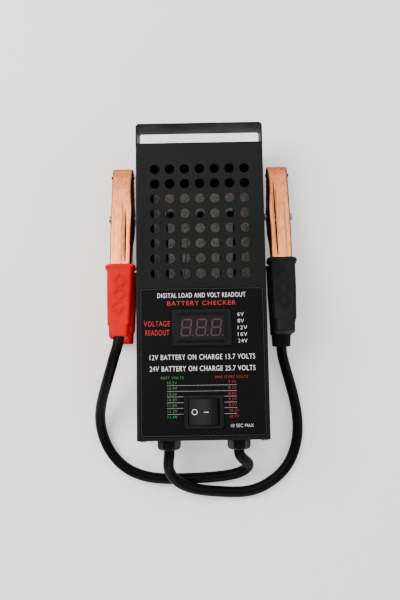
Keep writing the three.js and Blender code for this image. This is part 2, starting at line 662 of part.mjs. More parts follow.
function clamp(label, x, leadOnTop, plastic) {
  const group = new THREE.Group();
  const restZ = CLAMP.spine + CLAMP.sleeve + 0.05;
  group.position.set(x, CLAMP.hingeY, restZ);
  const upper = new THREE.Group();
  upper.rotation.x = -rad(2 * CLAMP.halfAngle);
  const lower = new THREE.Group();
  lower.rotation.y = Math.PI;
  group.add(upper, lower);
  tester.add(group);
  const [leadArm, freeArm] = leadOnTop ? [upper, lower] : [lower, upper];
  const name = (piece) => `clamp_${label}_${piece}`;
  const armOf = (frame) => (frame === upper
    ? clampArm(CLAMP.width, CLAMP.flare)
    : clampArm(CLAMP.innerWidth, CLAMP.innerFlare));
  part(name("lead_arm"), armOf(leadArm), COPPER, leadArm);
  part(name("free_arm"), armOf(freeArm), COPPER, freeArm);
  const { rim, leadEnd, freeEnd } = SLEEVES[label];
  part(name("lead_grip"), gripSleeve(true, rim, leadEnd), plastic, leadArm);
  part(name("free_grip"), gripSleeve(false, rim, freeEnd), plastic, freeArm);
  part(name("hinge_pin"), hingePin(), STEEL, group);
  part(name("spring"), torsionSpring(), STEEL, leadArm);
  part(name("crimp"), crimpBarrel(), BRASS, leadArm);
}

const POSITIVE_X = -68.6;
const NEGATIVE_X = 68.6;
clamp("positive", POSITIVE_X, true, RED_PVC);
clamp("negative", NEGATIVE_X, false, BLACK_PVC);
part("lead_positive", tube(LEADS.positive, LEAD.diameter, 38, 8), RUBBER);
part("lead_negative", tube(LEADS.negative, LEAD.diameter, 36, 8), RUBBER);

const model = new THREE.Group();
model.add(tester);
export default model;
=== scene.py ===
"""A hand-held battery load tester on a pale studio floor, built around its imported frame."""

import json
import math

import bmesh
import bpy
from bpy.props import FloatProperty, FloatVectorProperty, IntProperty, PointerProperty
from mathutils import Matrix, Vector


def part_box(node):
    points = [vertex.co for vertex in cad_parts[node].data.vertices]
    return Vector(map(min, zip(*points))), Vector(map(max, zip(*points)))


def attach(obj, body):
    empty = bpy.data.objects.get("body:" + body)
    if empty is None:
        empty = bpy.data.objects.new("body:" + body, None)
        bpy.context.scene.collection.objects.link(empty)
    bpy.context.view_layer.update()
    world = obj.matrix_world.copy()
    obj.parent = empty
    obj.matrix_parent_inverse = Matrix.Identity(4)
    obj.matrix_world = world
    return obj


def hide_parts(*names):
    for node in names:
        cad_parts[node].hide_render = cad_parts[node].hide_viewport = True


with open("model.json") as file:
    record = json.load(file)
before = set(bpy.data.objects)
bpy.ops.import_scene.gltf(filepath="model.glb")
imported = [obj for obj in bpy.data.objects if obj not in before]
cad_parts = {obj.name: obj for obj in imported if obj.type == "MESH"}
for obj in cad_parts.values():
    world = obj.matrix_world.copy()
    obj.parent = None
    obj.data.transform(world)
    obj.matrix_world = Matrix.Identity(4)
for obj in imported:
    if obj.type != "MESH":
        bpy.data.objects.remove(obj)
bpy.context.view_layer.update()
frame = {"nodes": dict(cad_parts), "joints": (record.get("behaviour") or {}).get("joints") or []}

bl_info = {
    "name": "Battery Load Tester",
    "version": (1, 0, 0),
    "blender": (4, 5, 0),
    "location": "View3D > Sidebar > Load Tester",
    "description": "Builds a steel-cased battery load tester with spring clamps",
    "category": "Object",
}

MM = 0.001
JOINTS = {joint["name"]: joint for joint in frame["joints"]}
CASE_LOW, CASE_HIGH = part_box("front_cover")
CASE_BOTTOM = CASE_LOW.y
PANEL_Z = CASE_HIGH.z
WHITE = (1.0, 1.0, 1.0, 1.0)


def box_centre(node):
    """The middle of a frame node's box."""
    low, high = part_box(node)
    return (low + high) / 2


# ------------------------------------------------------------------ colours and settings
def linear(text):
    """An sRGB hex colour as linear red, green, blue and alpha."""
    channels = [int(text[i:i + 2], 16) / 255 for i in (1, 3, 5)]
    return [c / 12.92 if c <= 0.04045 else ((c + 0.055) / 1.055) ** 2.4 for c in channels] + [1.0]


def colour_property(name, text, description):
    """A colour setting with its default given as sRGB hex."""
    return FloatVectorProperty(
        name=name, description=description, subtype="COLOR", size=4, min=0, max=1,
        default=linear(text),
    )


def length_property(name, value, description):
    """A length setting, with its default given in millimetres."""
    return FloatProperty(
        name=name, description=description, default=value * MM, min=0, unit="LENGTH",
        precision=5,
    )


class TesterCaseSettings(bpy.types.PropertyGroup):
    """Sizes and colours of the steel case."""

    coat: colour_property("Powder coat", "#161718", "Colour of the painted steel")
    edge_round: length_property("Edge round", 0.25, "Radius of punched edges")
    hole: length_property("Hole diameter", 8, "Diameter of the grille's holes")
    pitch: length_property("Hole pitch", 12.5, "Spacing of the grille's holes")
    columns: IntProperty(name="Hole columns", description="Holes across", default=7, min=1)
    rows: IntProperty(name="Hole rows", description="Holes up the grille", default=8, min=1)


class TesterPrintSettings(bpy.types.PropertyGroup):
    """Colours of the printed face plate."""

    film: colour_property("Film", "#100f0f", "Colour of the glossy film")
    white: colour_property("White ink", "#e2e1e4", "Colour of the white print")
    red: colour_property("Red ink", "#b0181d", "Colour of the red print")
    green: colour_property("Green ink", "#36884a", "Colour of the green print")
    grey: colour_property("Grey ink", "#8c8a8c", "Colour of the ruled lines")
    ink_height: length_property("Ink height", 0.08, "How far the print stands on the film")


class TesterClampSettings(bpy.types.PropertyGroup):
    """Sizes and colours of the spring clamps and the leads."""

    copper: colour_property("Copper plate", "#ff9c64", "Colour of the plated jaws")
    red: colour_property("Red sleeve", "#cc0004", "Colour of the positive sleeves")
    black: colour_property("Black sleeve", "#18181a", "Colour of the negative sleeves")
    rubber: colour_property("Lead jacket", "#0b0b0c", "Colour of the rubber leads")
    lead: length_property("Lead diameter", 9, "Outside diameter of the leads")


# ------------------------------------------------------------------ material nodes
def add_node(tree, kind, values=None, links=None, **settings):
    """Adds a node, sets its properties and input values, and links inputs to other sockets."""
    node = tree.nodes.new(kind)
    for key, value in settings.items():
        setattr(node, key, value)
    for key, value in (values or {}).items():
        node.inputs[key].default_value = value
    for key, socket in (links or {}).items():
        tree.links.new(socket, node.inputs[key])
    return node


def surface(name, values):
    """A new material with one principled shader, whose inputs get the values."""
    material = bpy.data.materials.new(name)
    material.use_nodes = True
    for key, value in values.items():
        shader_of(material).inputs[key].default_value = value
    return material


def shader_of(material):
    """The material's principled shader."""
    return material.node_tree.nodes["Principled BSDF"]


def grain(tree, size_mm, detail=2.0, roughness=0.5, stretch=(1, 1, 1)):
    """Noise whose grains measure about size_mm on the piece."""
    place = add_node(tree, "ShaderNodeTexCoord")
    spread = add_node(
        tree, "ShaderNodeMapping", {"Scale": stretch}, {"Vector": place.outputs["Object"]},
    )
    return add_node(
        tree, "ShaderNodeTexNoise",
        {"Scale": 1000 / size_mm, "Detail": detail, "Roughness": roughness},
        {"Vector": spread.outputs["Vector"]},
    ).outputs["Fac"]


def vary(material, socket, stops, *texture):
    """Varies a shader input over the piece: (position, colour) stops along grain(*texture)."""
    tree = material.node_tree
    node = add_node(tree, "ShaderNodeValToRGB", links={"Fac": grain(tree, *texture)})
    elements = node.color_ramp.elements
    while len(elements) < len(stops):
        elements.new(0.5)
    for element, (position, colour) in zip(elements, stops):
        element.position = position
        element.color = colour
    tree.links.new(node.outputs["Color"], shader_of(material).inputs[socket])


def relief(material, strength, distance_mm, *texture):
    """Bump whose height is grain(*texture)."""
    tree = material.node_tree
    node = add_node(
        tree, "ShaderNodeBump", {"Strength": strength, "Distance": distance_mm * MM},
        {"Height": grain(tree, *texture)},
    )
    tree.links.new(node.outputs["Normal"], shader_of(material).inputs["Normal"])


def tone(colour, factor):
    """The colour made lighter or darker."""
    return [min(1.0, c * factor) for c in colour[:3]] + [1.0]


def tones(colour, low, high):
    """Ramp stops from a darker to a lighter tone of one colour."""
    return [(0.3, tone(colour, low)), (0.7, tone(colour, high))]


def powder_coated_steel(colour):
    """Powder coat baked on folded steel: a satin black with a fine orange peel."""
    coat = surface("powder_coated_steel", {"Specular IOR Level": 0.07})
    vary(coat, "Base Color", tones(colour, 0.88, 1.12), 60, 3)
    vary(coat, "Roughness", tones(WHITE, 0.46, 0.56), 25, 3)
    relief(coat, 0.25, 0.05, 0.9)
    return coat


def printed_film(colour):
    """Screen-printed polycarbonate film: smooth and glossy, with faint waves from the glue."""
    film = surface("printed_film", {"Roughness": 0.22, "Specular IOR Level": 0.22})
    vary(film, "Base Color", tones(colour, 0.92, 1.08), 40)
    relief(film, 0.25, 0.08, 14)
    return film


def screen_ink(name, colour):
    """Screen-print ink: matt, with a slightly uneven deposit."""
    ink = surface(name, {"Roughness": 0.55})
    vary(ink, "Base Color", tones(colour, 0.85, 1.05), 0.6)
    return ink


def moulded_plastic(name, text, roughness, texture_mm=0.35):
    """Moulded plastic with a fine spark-eroded texture that softens its gloss."""
    plastic = surface(name, {"Roughness": roughness, "Specular IOR Level": 0.2})
    vary(plastic, "Base Color", tones(linear(text), 0.9, 1.1), 9)
    relief(plastic, 0.3, 0.03, texture_mm)
    return plastic


def copper_plate(colour):
    """Copper plated over pressed steel: a warm satin metal, brushed along the jaw, with pits."""
    plate = surface("copper_plate", {"Metallic": 1.0})
    mottle = [(0.36, tone(colour, 0.66)), (0.48, tone(colour, 0.95)), (0.6, tone(colour, 1))]
    vary(plate, "Base Color", mottle, 3.2, 5, 0.75, (1, 0.45, 1))
    vary(plate, "Roughness", tones(WHITE, 0.38, 0.52), 2.2, 3, 0.6, (1, 0.3, 1))
    relief(plate, 0.35, 0.12, 1.3, 4, 0.6, (1, 0.4, 1))
    return plate


def tarnished_copper():
    """Brown-black matt copper for the jaw's hollow and slit walls: painted shade, so they read
    dark.
    """
    tarnish = surface("tarnished_copper", {"Metallic": 0.4, "Roughness": 0.7})
    vary(tarnish, "Base Color", [(0.3, linear("#170d09")), (0.7, linear("#2c1812"))], 3, 3)
    return tarnish


def dipped_pvc(name, colour):
    """Dip-moulded PVC: a soft waxy skin with faint flow marks."""
    skin_coat = surface(name, {"Roughness": 0.48, "Specular IOR Level": 0.06})
    vary(skin_coat, "Base Color", tones(colour, 0.86, 1.08), 12, 3)
    relief(skin_coat, 0.2, 0.15, 2.4, 3)
    return skin_coat


def rubber_jacket(colour):
    """Extruded rubber cable jacket: matt, talc-dulled, with a fine drawn grain."""
    jacket = surface("rubber_jacket", {"Roughness": 0.38, "Specular IOR Level": 0.055})
    vary(jacket, "Base Color", tones(colour, 0.85, 1.2), 6, 3)
    relief(jacket, 0.25, 0.06, 0.8)
    return jacket


def bare_metal(name, text, roughness, grain_mm=1.5):
    """Plated or rolled metal with a fine uneven polish."""
    metal = surface(name, {"Metallic": 1.0})
    vary(metal, "Base Color", tones(linear(text), 0.8, 1.1), grain_mm, 3)
    vary(metal, "Roughness", tones(WHITE, roughness * 0.85, roughness * 1.15), grain_mm * 2, 3)
    return metal


def scaled_element_steel():
    """Resistance steel after many loads: a grey-brown scale, mottled and nearly matt."""
    scale = surface("scaled_element_steel", {"Roughness": 0.75})
    mottle = [(0.3, linear("#37322f")), (0.5, linear("#706963")), (0.7, linear("#a29a92"))]
    vary(scale, "Base Color", mottle, 1.1, 4, 0.75)
    relief(scale, 0.4, 0.1, 0.8, 3)
    return scale


def mica_board():
    """Pressed mica board painted near black as the shade inside the case, mottled like dark flakes
    in shellac.
    """
    mica = surface("mica_board", {"Roughness": 0.55})
    vary(mica, "Base Color", [(0.3, linear("#14100d")), (0.7, linear("#241c16"))], 3, 4, 0.7)
    return mica


def studio_paper():
    """Seamless white paper with a faint glow of its own, so that it stays pale."""
    paper = surface(
        "studio_paper", {"Roughness": 0.9, "Emission Color": WHITE, "Emission Strength": 0.42},
    )
    vary(paper, "Base Color", tones(WHITE, 0.9, 0.93), 900, 1)
    return paper


MATERIALS = {}


def make_materials(scene):
    """Makes every material once, from the settings' colours."""
    case, ink, clamp = scene.tester_case, scene.tester_print, scene.tester_clamp
    MATERIALS.update(
        case=powder_coated_steel(case.coat),
        film=printed_film(ink.film),
        white=screen_ink("white_ink", ink.white),
        red=screen_ink("red_ink", ink.red),
        green=screen_ink("green_ink", ink.green),
        grey=screen_ink("grey_ink", ink.grey),
        border=screen_ink("border_ink", linear("#242324")),
        abs=moulded_plastic("moulded_abs", "#131314", 0.36),
        rocker=moulded_plastic("moulded_polycarbonate", "#131316", 0.42),
        nylon=moulded_plastic("moulded_nylon", "#19191a", 0.2, 0.8),
        display=moulded_plastic("display_epoxy", "#1a1517", 0.35, 0.8),
        segment=moulded_plastic("unlit_segment", "#46303a", 0.4, 0.5),
        board=moulded_plastic("glass_epoxy_board", "#27593a", 0.45, 1.0),
        copper=copper_plate(clamp.copper),
        # a darker copper for the arms' sideways flanks: painted shade
        flank=bare_metal("worn_copper_flank", "#6e3d2b", 0.5, 3),
        # a brown-black copper for the jaws' hollow and slit: painted shade
        tarnish=tarnished_copper(),
        red_pvc=dipped_pvc("red_dipped_pvc", clamp.red),
        black_pvc=dipped_pvc("black_dipped_pvc", clamp.black),
        rubber=rubber_jacket(clamp.rubber),
        steel=bare_metal("zinc_plated_steel", "#a9abae", 0.32),
        black_steel=bare_metal("black_oxide_steel", "#2c2c2e", 0.42),
        dark_bolt=bare_metal("burnt_bolt_steel", "#1e1815", 0.45),
        dark_brass=bare_metal("heat_darkened_brass", "#3a3027", 0.6),
        brass=bare_metal("rolled_brass", "#c6a45c", 0.35),
        element=scaled_element_steel(),
        # mica near black: painted shade inside the case
        mica=mica_board(),
        paper=studio_paper(),
    )


# ------------------------------------------------------------------ mesh helpers
def object_from(name, data):
    """Links a new object for a mesh, curve, lamp or camera."""
    piece = bpy.data.objects.new(name, data)
    bpy.context.scene.collection.objects.link(piece)
    return piece


def mesh_from(name, corners, faces):
    """A mesh in metres from corners in millimetres, with its faces turned outwards."""
    mesh = bpy.data.meshes.new(name)
    mesh.from_pydata([Vector(corner) * MM for corner in corners], [], faces)
    tidy(mesh)
    return mesh


def tidy(mesh, merge=1e-7):
    """Merges doubles and turns the faces outwards."""
    work = bmesh.new()
    work.from_mesh(mesh)
    bmesh.ops.remove_doubles(work, verts=work.verts, dist=merge)
    bmesh.ops.recalc_face_normals(work, faces=work.faces)
    work.to_mesh(mesh)
    work.free()


def result_of(holder):
    """A new mesh of what an object's curve or modifiers make."""
    bpy.context.view_layer.update()
    return bpy.data.meshes.new_from_object(
        holder.evaluated_get(bpy.context.evaluated_depsgraph_get()))


def plain_mesh(piece):
    """Replaces a piece's modifiers with the mesh that they make."""
    mesh = result_of(piece)
    mesh.name = piece.name
    piece.modifiers.clear()
    piece.data = mesh
    return piece


def rounded(piece, width_mm, segments=2, angle=35):
    """Bevels the sharp edges of a piece and shades it smooth between them."""
    bevel = piece.modifiers.new("edges", "BEVEL")
    bevel.width = width_mm * MM
    bevel.segments = segments
    bevel.limit_method = "ANGLE"
    bevel.angle_limit = math.radians(angle)
    bevel.harden_normals = False
    return smooth(plain_mesh(piece), angle)


def smooth(piece, angle=35):
    """Smooth shading that keeps edges sharper than the angle."""
    mesh = piece.data
    work = bmesh.new()
    work.from_mesh(mesh)
    for face in work.faces:
        face.smooth = True
    limit = math.radians(angle)
    for edge in work.edges:
        edge.smooth = edge.is_manifold and edge.calc_face_angle(0) < limit
    work.to_mesh(mesh)
    work.free()
    normals = piece.modifiers.new("normals", "WEIGHTED_NORMAL")
    normals.mode = "FACE_AREA"
    normals.weight = 80
    normals.keep_sharp = True
    return plain_mesh(piece)


def carve(piece, cutter, operation="DIFFERENCE"):
    """Cuts a piece with another, joins them or keeps what they share; cut faces keep finishes."""
    tool = piece.modifiers.new("carve", "BOOLEAN")
    tool.operation = operation
    tool.solver = "EXACT"
    tool.material_mode = "TRANSFER"
    tool.object = cutter
    plain_mesh(piece)
    bpy.data.objects.remove(cutter)
    return piece


def along_axis(axis, level, a, b):
    """A point at a level along an axis, with its two other coordinates in order."""
    return {"x": (level, a, b), "y": (a, level, b), "z": (a, b, level)}[axis]


def prism(name, outline, low, high, axis="z"):
    """A straight prism of an outline, in millimetres, along one axis."""
    count = len(outline)
    corners = [along_axis(axis, level, a, b) for level in (low, high) for a, b in outline]
    faces = [list(range(count)), list(range(count, 2 * count))]
    for i in range(count):
        j = (i + 1) % count
        faces.append([i, j, count + j, count + i])
    return object_from(name, mesh_from(name, corners, faces))


def box_outline(x0, x1, y0, y1, radius=0.0, steps=6):
    """A rectangle's outline with round corners."""
    if radius == 0:
        return [(x0, y0), (x1, y0), (x1, y1), (x0, y1)]
    points = []
    centres = [(x1, y0, -90), (x1, y1, 0), (x0, y1, 90), (x0, y0, 180)]
    for cx, cy, start in centres:
        ox = cx - math.copysign(radius, cx - (x0 + x1) / 2)
        oy = cy - math.copysign(radius, cy - (y0 + y1) / 2)
        for i in range(steps + 1):
            angle = math.radians(start + 90 * i / steps)
            points.append((ox + radius * math.cos(angle), oy + radius * math.sin(angle)))
    return points


def level_ring(half_x, half_y, z, radius):
    """A rounded rectangle's corners at one height."""
    return [(x, y, z) for x, y in box_outline(-half_x, half_x, -half_y, half_y, radius)]


def arc(cx, cy, radius, start, end, steps=8):
    """Points along an arc, angles in degrees."""
    return [
        (cx + radius * math.cos(math.radians(start + (end - start) * i / steps)),
         cy + radius * math.sin(math.radians(start + (end - start) * i / steps)))
        for i in range(steps + 1)
    ]


def block(name, x, y, z):
    """A plain box from three pairs of millimetres, used for cutting and joining."""
    return prism(name, box_outline(x[0], x[1], y[0], y[1]), z[0], z[1])


def skin(name, rings):
    """Joins rings of equally many points, in millimetres, into one skin with closed ends."""
    count = len(rings[0])
    corners = [point for ring in rings for point in ring]
    faces = []
    for k in range(len(rings) - 1):
        for i in range(count):
            a, b = k * count + i, k * count + (i + 1) % count
            faces.append([a, b, b + count, a + count])
    faces.append(list(range(count)))
    faces.append(list(range(len(corners) - count, len(corners))))
    return object_from(name, mesh_from(name, corners, faces))


def turned(name, profile, axis="y", sides=48):
    """A turned piece from (radius, height) pairs in millimetres, centred on an axis."""
    angles = [2 * math.pi * i / sides for i in range(sides)]
    return skin(name, [
        [along_axis(axis, height, radius * math.cos(a), radius * math.sin(a)) for a in angles]
        for radius, height in profile])


def place(piece, matrix):
    """Moves a piece's mesh and leaves its object at the origin."""
    piece.data.transform(matrix)
    return piece


def turn_about(axis, degrees):
    """A turn about an axis through the origin."""
    return Matrix.Rotation(math.radians(degrees), 4, axis)


def shift_mm(x=0.0, y=0.0, z=0.0):
    """A move in millimetres."""
    return Matrix.Translation((x * MM, y * MM, z * MM))


def paint(piece, material):
    """Gives a whole piece one material."""
    piece.data.materials.clear()
    piece.data.materials.append(MATERIALS[material])
    return piece


def dress(piece, material, body="root", replaces=()):
    """Gives a finished piece its material and body, and hides the nodes it stands for.

    A piece that already wears its materials passes None.
    """
    piece.name = piece.data.name = piece.name.split(".")[0] + "_piece"
    if material:
        paint(piece, material)
    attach(piece, body)
    if replaces:
        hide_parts(*replaces)
    return piece


def stand_in(piece, material, body="root"):
    """Dresses a piece that replaces the frame node of its own name."""
    return dress(piece, material, body, [piece.name.split(".")[0]])


def join(name, pieces):
    """Joins separate pieces into one mesh."""
    work = bmesh.new()
    for piece in pieces:
        work.from_mesh(piece.data)
        bpy.data.objects.remove(piece)
    mesh = bpy.data.meshes.new(name)
    work.to_mesh(mesh)
    work.free()
    return object_from(name, mesh)


def case_place(piece):
    """Moves a piece from the case's own frame, y = 0 at its bottom edge, to the row's frame."""
    return place(piece, Matrix.Translation((0, CASE_BOTTOM, 0)))


def rounded_box(name, low, high, width_mm):
    """A box between two corners in metres, with its edges rounded."""
    a, b = low / MM, high / MM
    return rounded(block(name, (a.x, b.x), (a.y, b.y), (a.z, b.z)), width_mm)


def paint_node(node, material):
    """Gives a frame node that is already right its finish."""
    return paint(frame["nodes"][node], material)


def mix(value, stops):
    """Straight-line interpolation in (position, value) stops."""
    if value <= stops[0][0]:
        return stops[0][1]
    for (a, va), (b, vb) in zip(stops, stops[1:]):
        if value <= b:
            return va + (vb - va) * (value - a) / (b - a)
    return stops[-1][1]


def round_curve(name, radius, smoothness):
    """A curve data block that draws a round cord with closed ends; radius in metres."""
    curve = bpy.data.curves.new(name, "CURVE")
    curve.dimensions = "3D"
    curve.bevel_depth = radius
    curve.bevel_resolution = smoothness
    curve.use_fill_caps = True
    return curve


# ------------------------------------------------------------------ repeated shapes
def repeat_group(name, columns, rows, pitch_x, pitch_y):
    """A node group that puts copies of one mesh on a grid, with its sizes as inputs."""
    group = bpy.data.node_groups.new(name, "GeometryNodeTree")
    socket = group.interface.new_socket
    socket("Geometry", in_out="INPUT", socket_type="NodeSocketGeometry")
    socket("Geometry", in_out="OUTPUT", socket_type="NodeSocketGeometry")
    defaults = (("Columns", "NodeSocketInt", columns), ("Rows", "NodeSocketInt", rows),
                ("Pitch X", "NodeSocketFloat", pitch_x), ("Pitch Y", "NodeSocketFloat", pitch_y),
                ("Piece", "NodeSocketObject", None), ("Material", "NodeSocketMaterial", None))
    for label, kind, value in defaults:
        item = socket(label, in_out="INPUT", socket_type=kind)
        if value is not None:
            item.default_value = value
    given = add_node(group, "NodeGroupInput").outputs

    def span(count, pitch):
        gaps = add_node(group, "ShaderNodeMath", {1: 1.0}, {0: given[count]}, operation="SUBTRACT")
        return add_node(
            group, "ShaderNodeMath", links={0: gaps.outputs[0], 1: given[pitch]},
            operation="MULTIPLY",
        ).outputs[0]

    grid = add_node(group, "GeometryNodeMeshGrid", links={
        "Size X": span("Columns", "Pitch X"), "Size Y": span("Rows", "Pitch Y"),
        "Vertices X": given["Columns"], "Vertices Y": given["Rows"],
    })
    source = add_node(group, "GeometryNodeObjectInfo", links={"Object": given["Piece"]})
    copies = add_node(group, "GeometryNodeInstanceOnPoints", links={
        "Points": grid.outputs["Mesh"], "Instance": source.outputs["Geometry"],
    })
    real = add_node(
        group, "GeometryNodeRealizeInstances", links={"Geometry": copies.outputs["Instances"]},
    )
    coloured = add_node(group, "GeometryNodeSetMaterial", links={
        "Geometry": real.outputs["Geometry"], "Material": given["Material"],
    })
    add_node(group, "NodeGroupOutput", links={"Geometry": coloured.outputs["Geometry"]})
    return group


def repeated(name, unit, columns, rows, pitch_x, pitch_y, material):
    """Copies a unit piece over a centred grid and returns one plain mesh; pitches in metres."""
    group = repeat_group(name + "_grid", columns, rows, pitch_x, pitch_y)
    holder = object_from(name, bpy.data.meshes.new(name))
    maker = holder.modifiers.new("grid", "NODES")
    maker.node_group = group
    values = {"Columns": columns, "Rows": rows, "Pitch X": pitch_x, "Pitch Y": pitch_y,
              "Piece": unit, "Material": MATERIALS[material]}
    for item in group.interface.items_tree:
        if item.in_out == "INPUT" and item.name in values:
            maker[item.identifier] = values[item.name]
    plain_mesh(holder)
    bpy.data.objects.remove(unit)
    return holder


# ------------------------------------------------------------------ stage
def area_light(name, place_at, target, size, power, text):
    """A square area light aimed at a point, in metres and watts."""
    light = bpy.data.lights.new(name, "AREA")
    light.size = size
    light.energy = power
    light.color = linear(text)[:3]
    holder = object_from(name, light)
    holder.location = place_at
    aim = Vector(target) - Vector(place_at)
    holder.rotation_euler = aim.to_track_quat("-Z", "Y").to_euler()


class TESTER_OT_stage(bpy.types.Operator):
    """Adds the camera, the paper floor and the soft lights"""

    bl_idname = "tester.stage"
    bl_label = "Stage"

    def execute(self, context):
        lens = bpy.data.cameras.new("camera")
        lens.sensor_fit = "VERTICAL"
        lens.sensor_height = 36
        lens.lens = 49.3
        lens.shift_y = -0.1667
        camera = object_from("camera", lens)
        camera.location = (0.006, CASE_BOTTOM + 0.0865, 0.7358)
        turn = Vector([math.radians(angle) for angle in (9.02, 0.567, -0.988)])
        camera.rotation_euler = Matrix.Rotation(turn.length, 3, turn).to_euler()
        context.scene.camera = camera
        reach = (-12000, 12000)
        floor = block("floor", reach, reach, (-3, -0.1))
        floor.data.materials.append(MATERIALS["paper"])
        for light in (
            ("key", (-0.62, 0.35, 0.9), (0, 0, 0.02), 0.7, 18, "#fff8f2"),
            ("fill", (0.8, 0.1, 0.7), (0, 0, 0.02), 0.8, 6, "#f4f8ff"),
            ("front", (0.0, -0.95, 0.5), (0, 0, 0.03), 0.8, 6, "#ffffff"),
            ("top", (0.05, 0.75, 0.95), (0, 0.02, 0.03), 0.8, 6, "#ffffff"),
        ):
            area_light(*light)
        world = bpy.data.worlds.new("studio")
        world.use_nodes = True
        back = world.node_tree.nodes["Background"]
        back.inputs["Color"].default_value = linear("#dfe2e6")
        back.inputs["Strength"].default_value = 0.15
        context.scene.world = world
        return {"FINISHED"}


# ------------------------------------------------------------------ leads
# millimetres; each run starts inside its gland and ends in its clamp's crimp
POSITIVE_ROUTE = [
    (29, -11.3, 30), (29.2, -14.6, 29.7), (31, -18, 27.6), (34.2, -21.4, 23.2),
    (36.8, -24.8, 17.2), (35.8, -29, 11.2), (30.4, -33, 6.8), (20.4, -35.8, 4.9), (7, -37.2, 4.8),
    (-8, -37.9, 4.8), (-22, -38.2, 4.8), (-36, -37.9, 4.8), (-47, -36.6, 4.8),
    (-57.6, -33.6, 4.8), (-67.4, -28.6, 4.8), (-75.8, -21.2, 4.8), (-82, -12.8, 5),
    (-86, -4, 6.2), (-88.2, 5, 9), (-88.6, 14, 13.4), (-87.4, 22.5, 19.4), (-85, 31, 26.6),
    (-82, 39.5, 34.4), (-78.6, 48.5, 42), (-75.2, 57.8, 48.2), (-72.2, 67, 52.2),
    (-69.6, 75, 53.2), (-68.65, 81.4, 52.1), (-68.6, 89.4, 49.9), (-68.6, 97.3, 47.8),
]
NEGATIVE_ROUTE = [
    (-29, -11.3, 30), (-29.1, -15, 29.9), (-29.8, -20.6, 27.8), (-29.9, -26.2, 24.4),
    (-28.2, -31.8, 20.6), (-24.2, -37, 17.4), (-18.2, -41.6, 14.4), (-10, -45.2, 10.8),
    (0, -47.7, 6.9), (12, -49.1, 4.9), (24, -49.7, 4.8), (35, -49.3, 4.8), (46, -46.6, 4.8),
    (56, -41.6, 4.8), (65, -34.7, 4.8), (72, -26.2, 4.8), (76.8, -16.4, 4.8), (79.6, -6.2, 4.8),
    (80.6, 4, 4.8), (80.2, 14, 4.8), (78.6, 25, 4.8), (76.2, 36, 4.9), (73.4, 47, 5.2),
    (70.8, 57, 5.8), (69.1, 65, 6.4), (68.6, 72, 6.6), (68.6, 80, 6.6), (68.6, 91.9, 6.6),
]


def lead_curve(name, route, radius):
    """A round lead that runs smoothly through the route's points."""
    curve = round_curve(name, radius, 6)
    curve.resolution_u = 10
    line = curve.splines.new("BEZIER")
    line.bezier_points.add(len(route) - 1)
    for point, (x, y, z) in zip(line.bezier_points, route):
        point.co = (x * MM, y * MM + CASE_BOTTOM, z * MM)
        point.handle_left_type = point.handle_right_type = "AUTO"
    return stand_in(object_from(name, curve), "rubber")


class TESTER_OT_leads(bpy.types.Operator):
    """Adds the two rubber leads from the glands to the clamps"""

    bl_idname = "tester.leads"
    bl_label = "Leads"

    def execute(self, context):
        radius = context.scene.tester_clamp.lead / 2
        lead_curve("lead_positive", POSITIVE_ROUTE, radius)
        lead_curve("lead_negative", NEGATIVE_ROUTE, radius)
        return {"FINISHED"}


# ------------------------------------------------------------------ case
# millimetres; y = 0 at the case's bottom edge, z = 0 at the paper
OUTER, INNER = 53.5, 52.3
OUTER_BEND, INNER_BEND = 2, 0.8
CORNER, INNER_CORNER = 3, 1.8
SHEET_TOP = 243
PANEL_CUT = (50, 70)
GRILLE_Y = 133
GLAND_X, GLAND_Z = 29, 30


def channel_outline(half, foot, bend):
    """The front cover's section: two sides joined over the top by bends."""
    middle = OUTER - OUTER_BEND
    return ([(-half, foot), (half, foot)] + arc(middle, 58, bend, 0, 90)
            + arc(-middle, 58, bend, 90, 180))


def loop_outline(half, foot, corner):
    """The handle loop's plan, with its two round corners."""
    middle = OUTER - CORNER
    return ([(-half, foot), (half, foot)] + arc(middle, 257, corner, 0, 90)
            + arc(-middle, 257, corner, 90, 180))


class TESTER_OT_front_cover(bpy.types.Operator):
    """Folds the front cover with its grille, cut-outs and handle loop"""

    bl_idname = "tester.front_cover"
    bl_label = "Front cover"

    def execute(self, context):
        case = context.scene.tester_case
        channel = channel_outline(OUTER, 0, OUTER_BEND)
        hollow = channel_outline(INNER, -1, INNER_BEND)
        cover = prism("front_cover", channel, 0.0, SHEET_TOP, "y")
        carve(cover, prism("hollow", hollow, -1, SHEET_TOP + 1, "y"))
        loop = prism("loop", loop_outline(OUTER, SHEET_TOP - 2, CORNER), 0, 60)
        carve(loop, prism("within", loop_outline(INNER, 230, INNER_CORNER), -1, 61))
        carve(cover, loop, "UNION")
        step = [(240.5, -1), (270, -1), (270, 25), (248, 25), (240.5, 12)]
        carve(cover, prism("step", step, -60, 60, "x"))
        carve(cover, block("flange", (-52.8, 52.8), (0, 1.2), (46, 59)), "UNION")
        if case.columns * case.pitch > 2 * INNER * MM:
            raise ValueError("the grille is wider than the panel")
        radius = case.hole / 2 / MM
        punch = turned("punch", [(radius, -4), (radius, 4)], "z", 40)
        punches = repeated(
            "punches", punch, case.columns, case.rows, case.pitch, case.pitch, "case",
        )
        middle_y = GRILLE_Y * MM + (case.rows - 1) * case.pitch / 2
        carve(cover, place(punches, Matrix.Translation((0, middle_y, 59 * MM))))
        carve(cover, block("meter_window", (-23.1, 23.1), (75.5, 102.5), PANEL_CUT))
        carve(cover, block("switch_window", (-13.8, 14.8), (11, 33.6), PANEL_CUT))
        for y in (34, 205):
            way = turned("screw_way", [(1.8, -60), (1.8, 60)], "x", 20)
            carve(cover, place(way, shift_mm(y=y, z=9)))
        rounded(cover, case.edge_round / MM, 2, 40)
        stand_in(case_place(cover), "case")
        return {"FINISHED"}


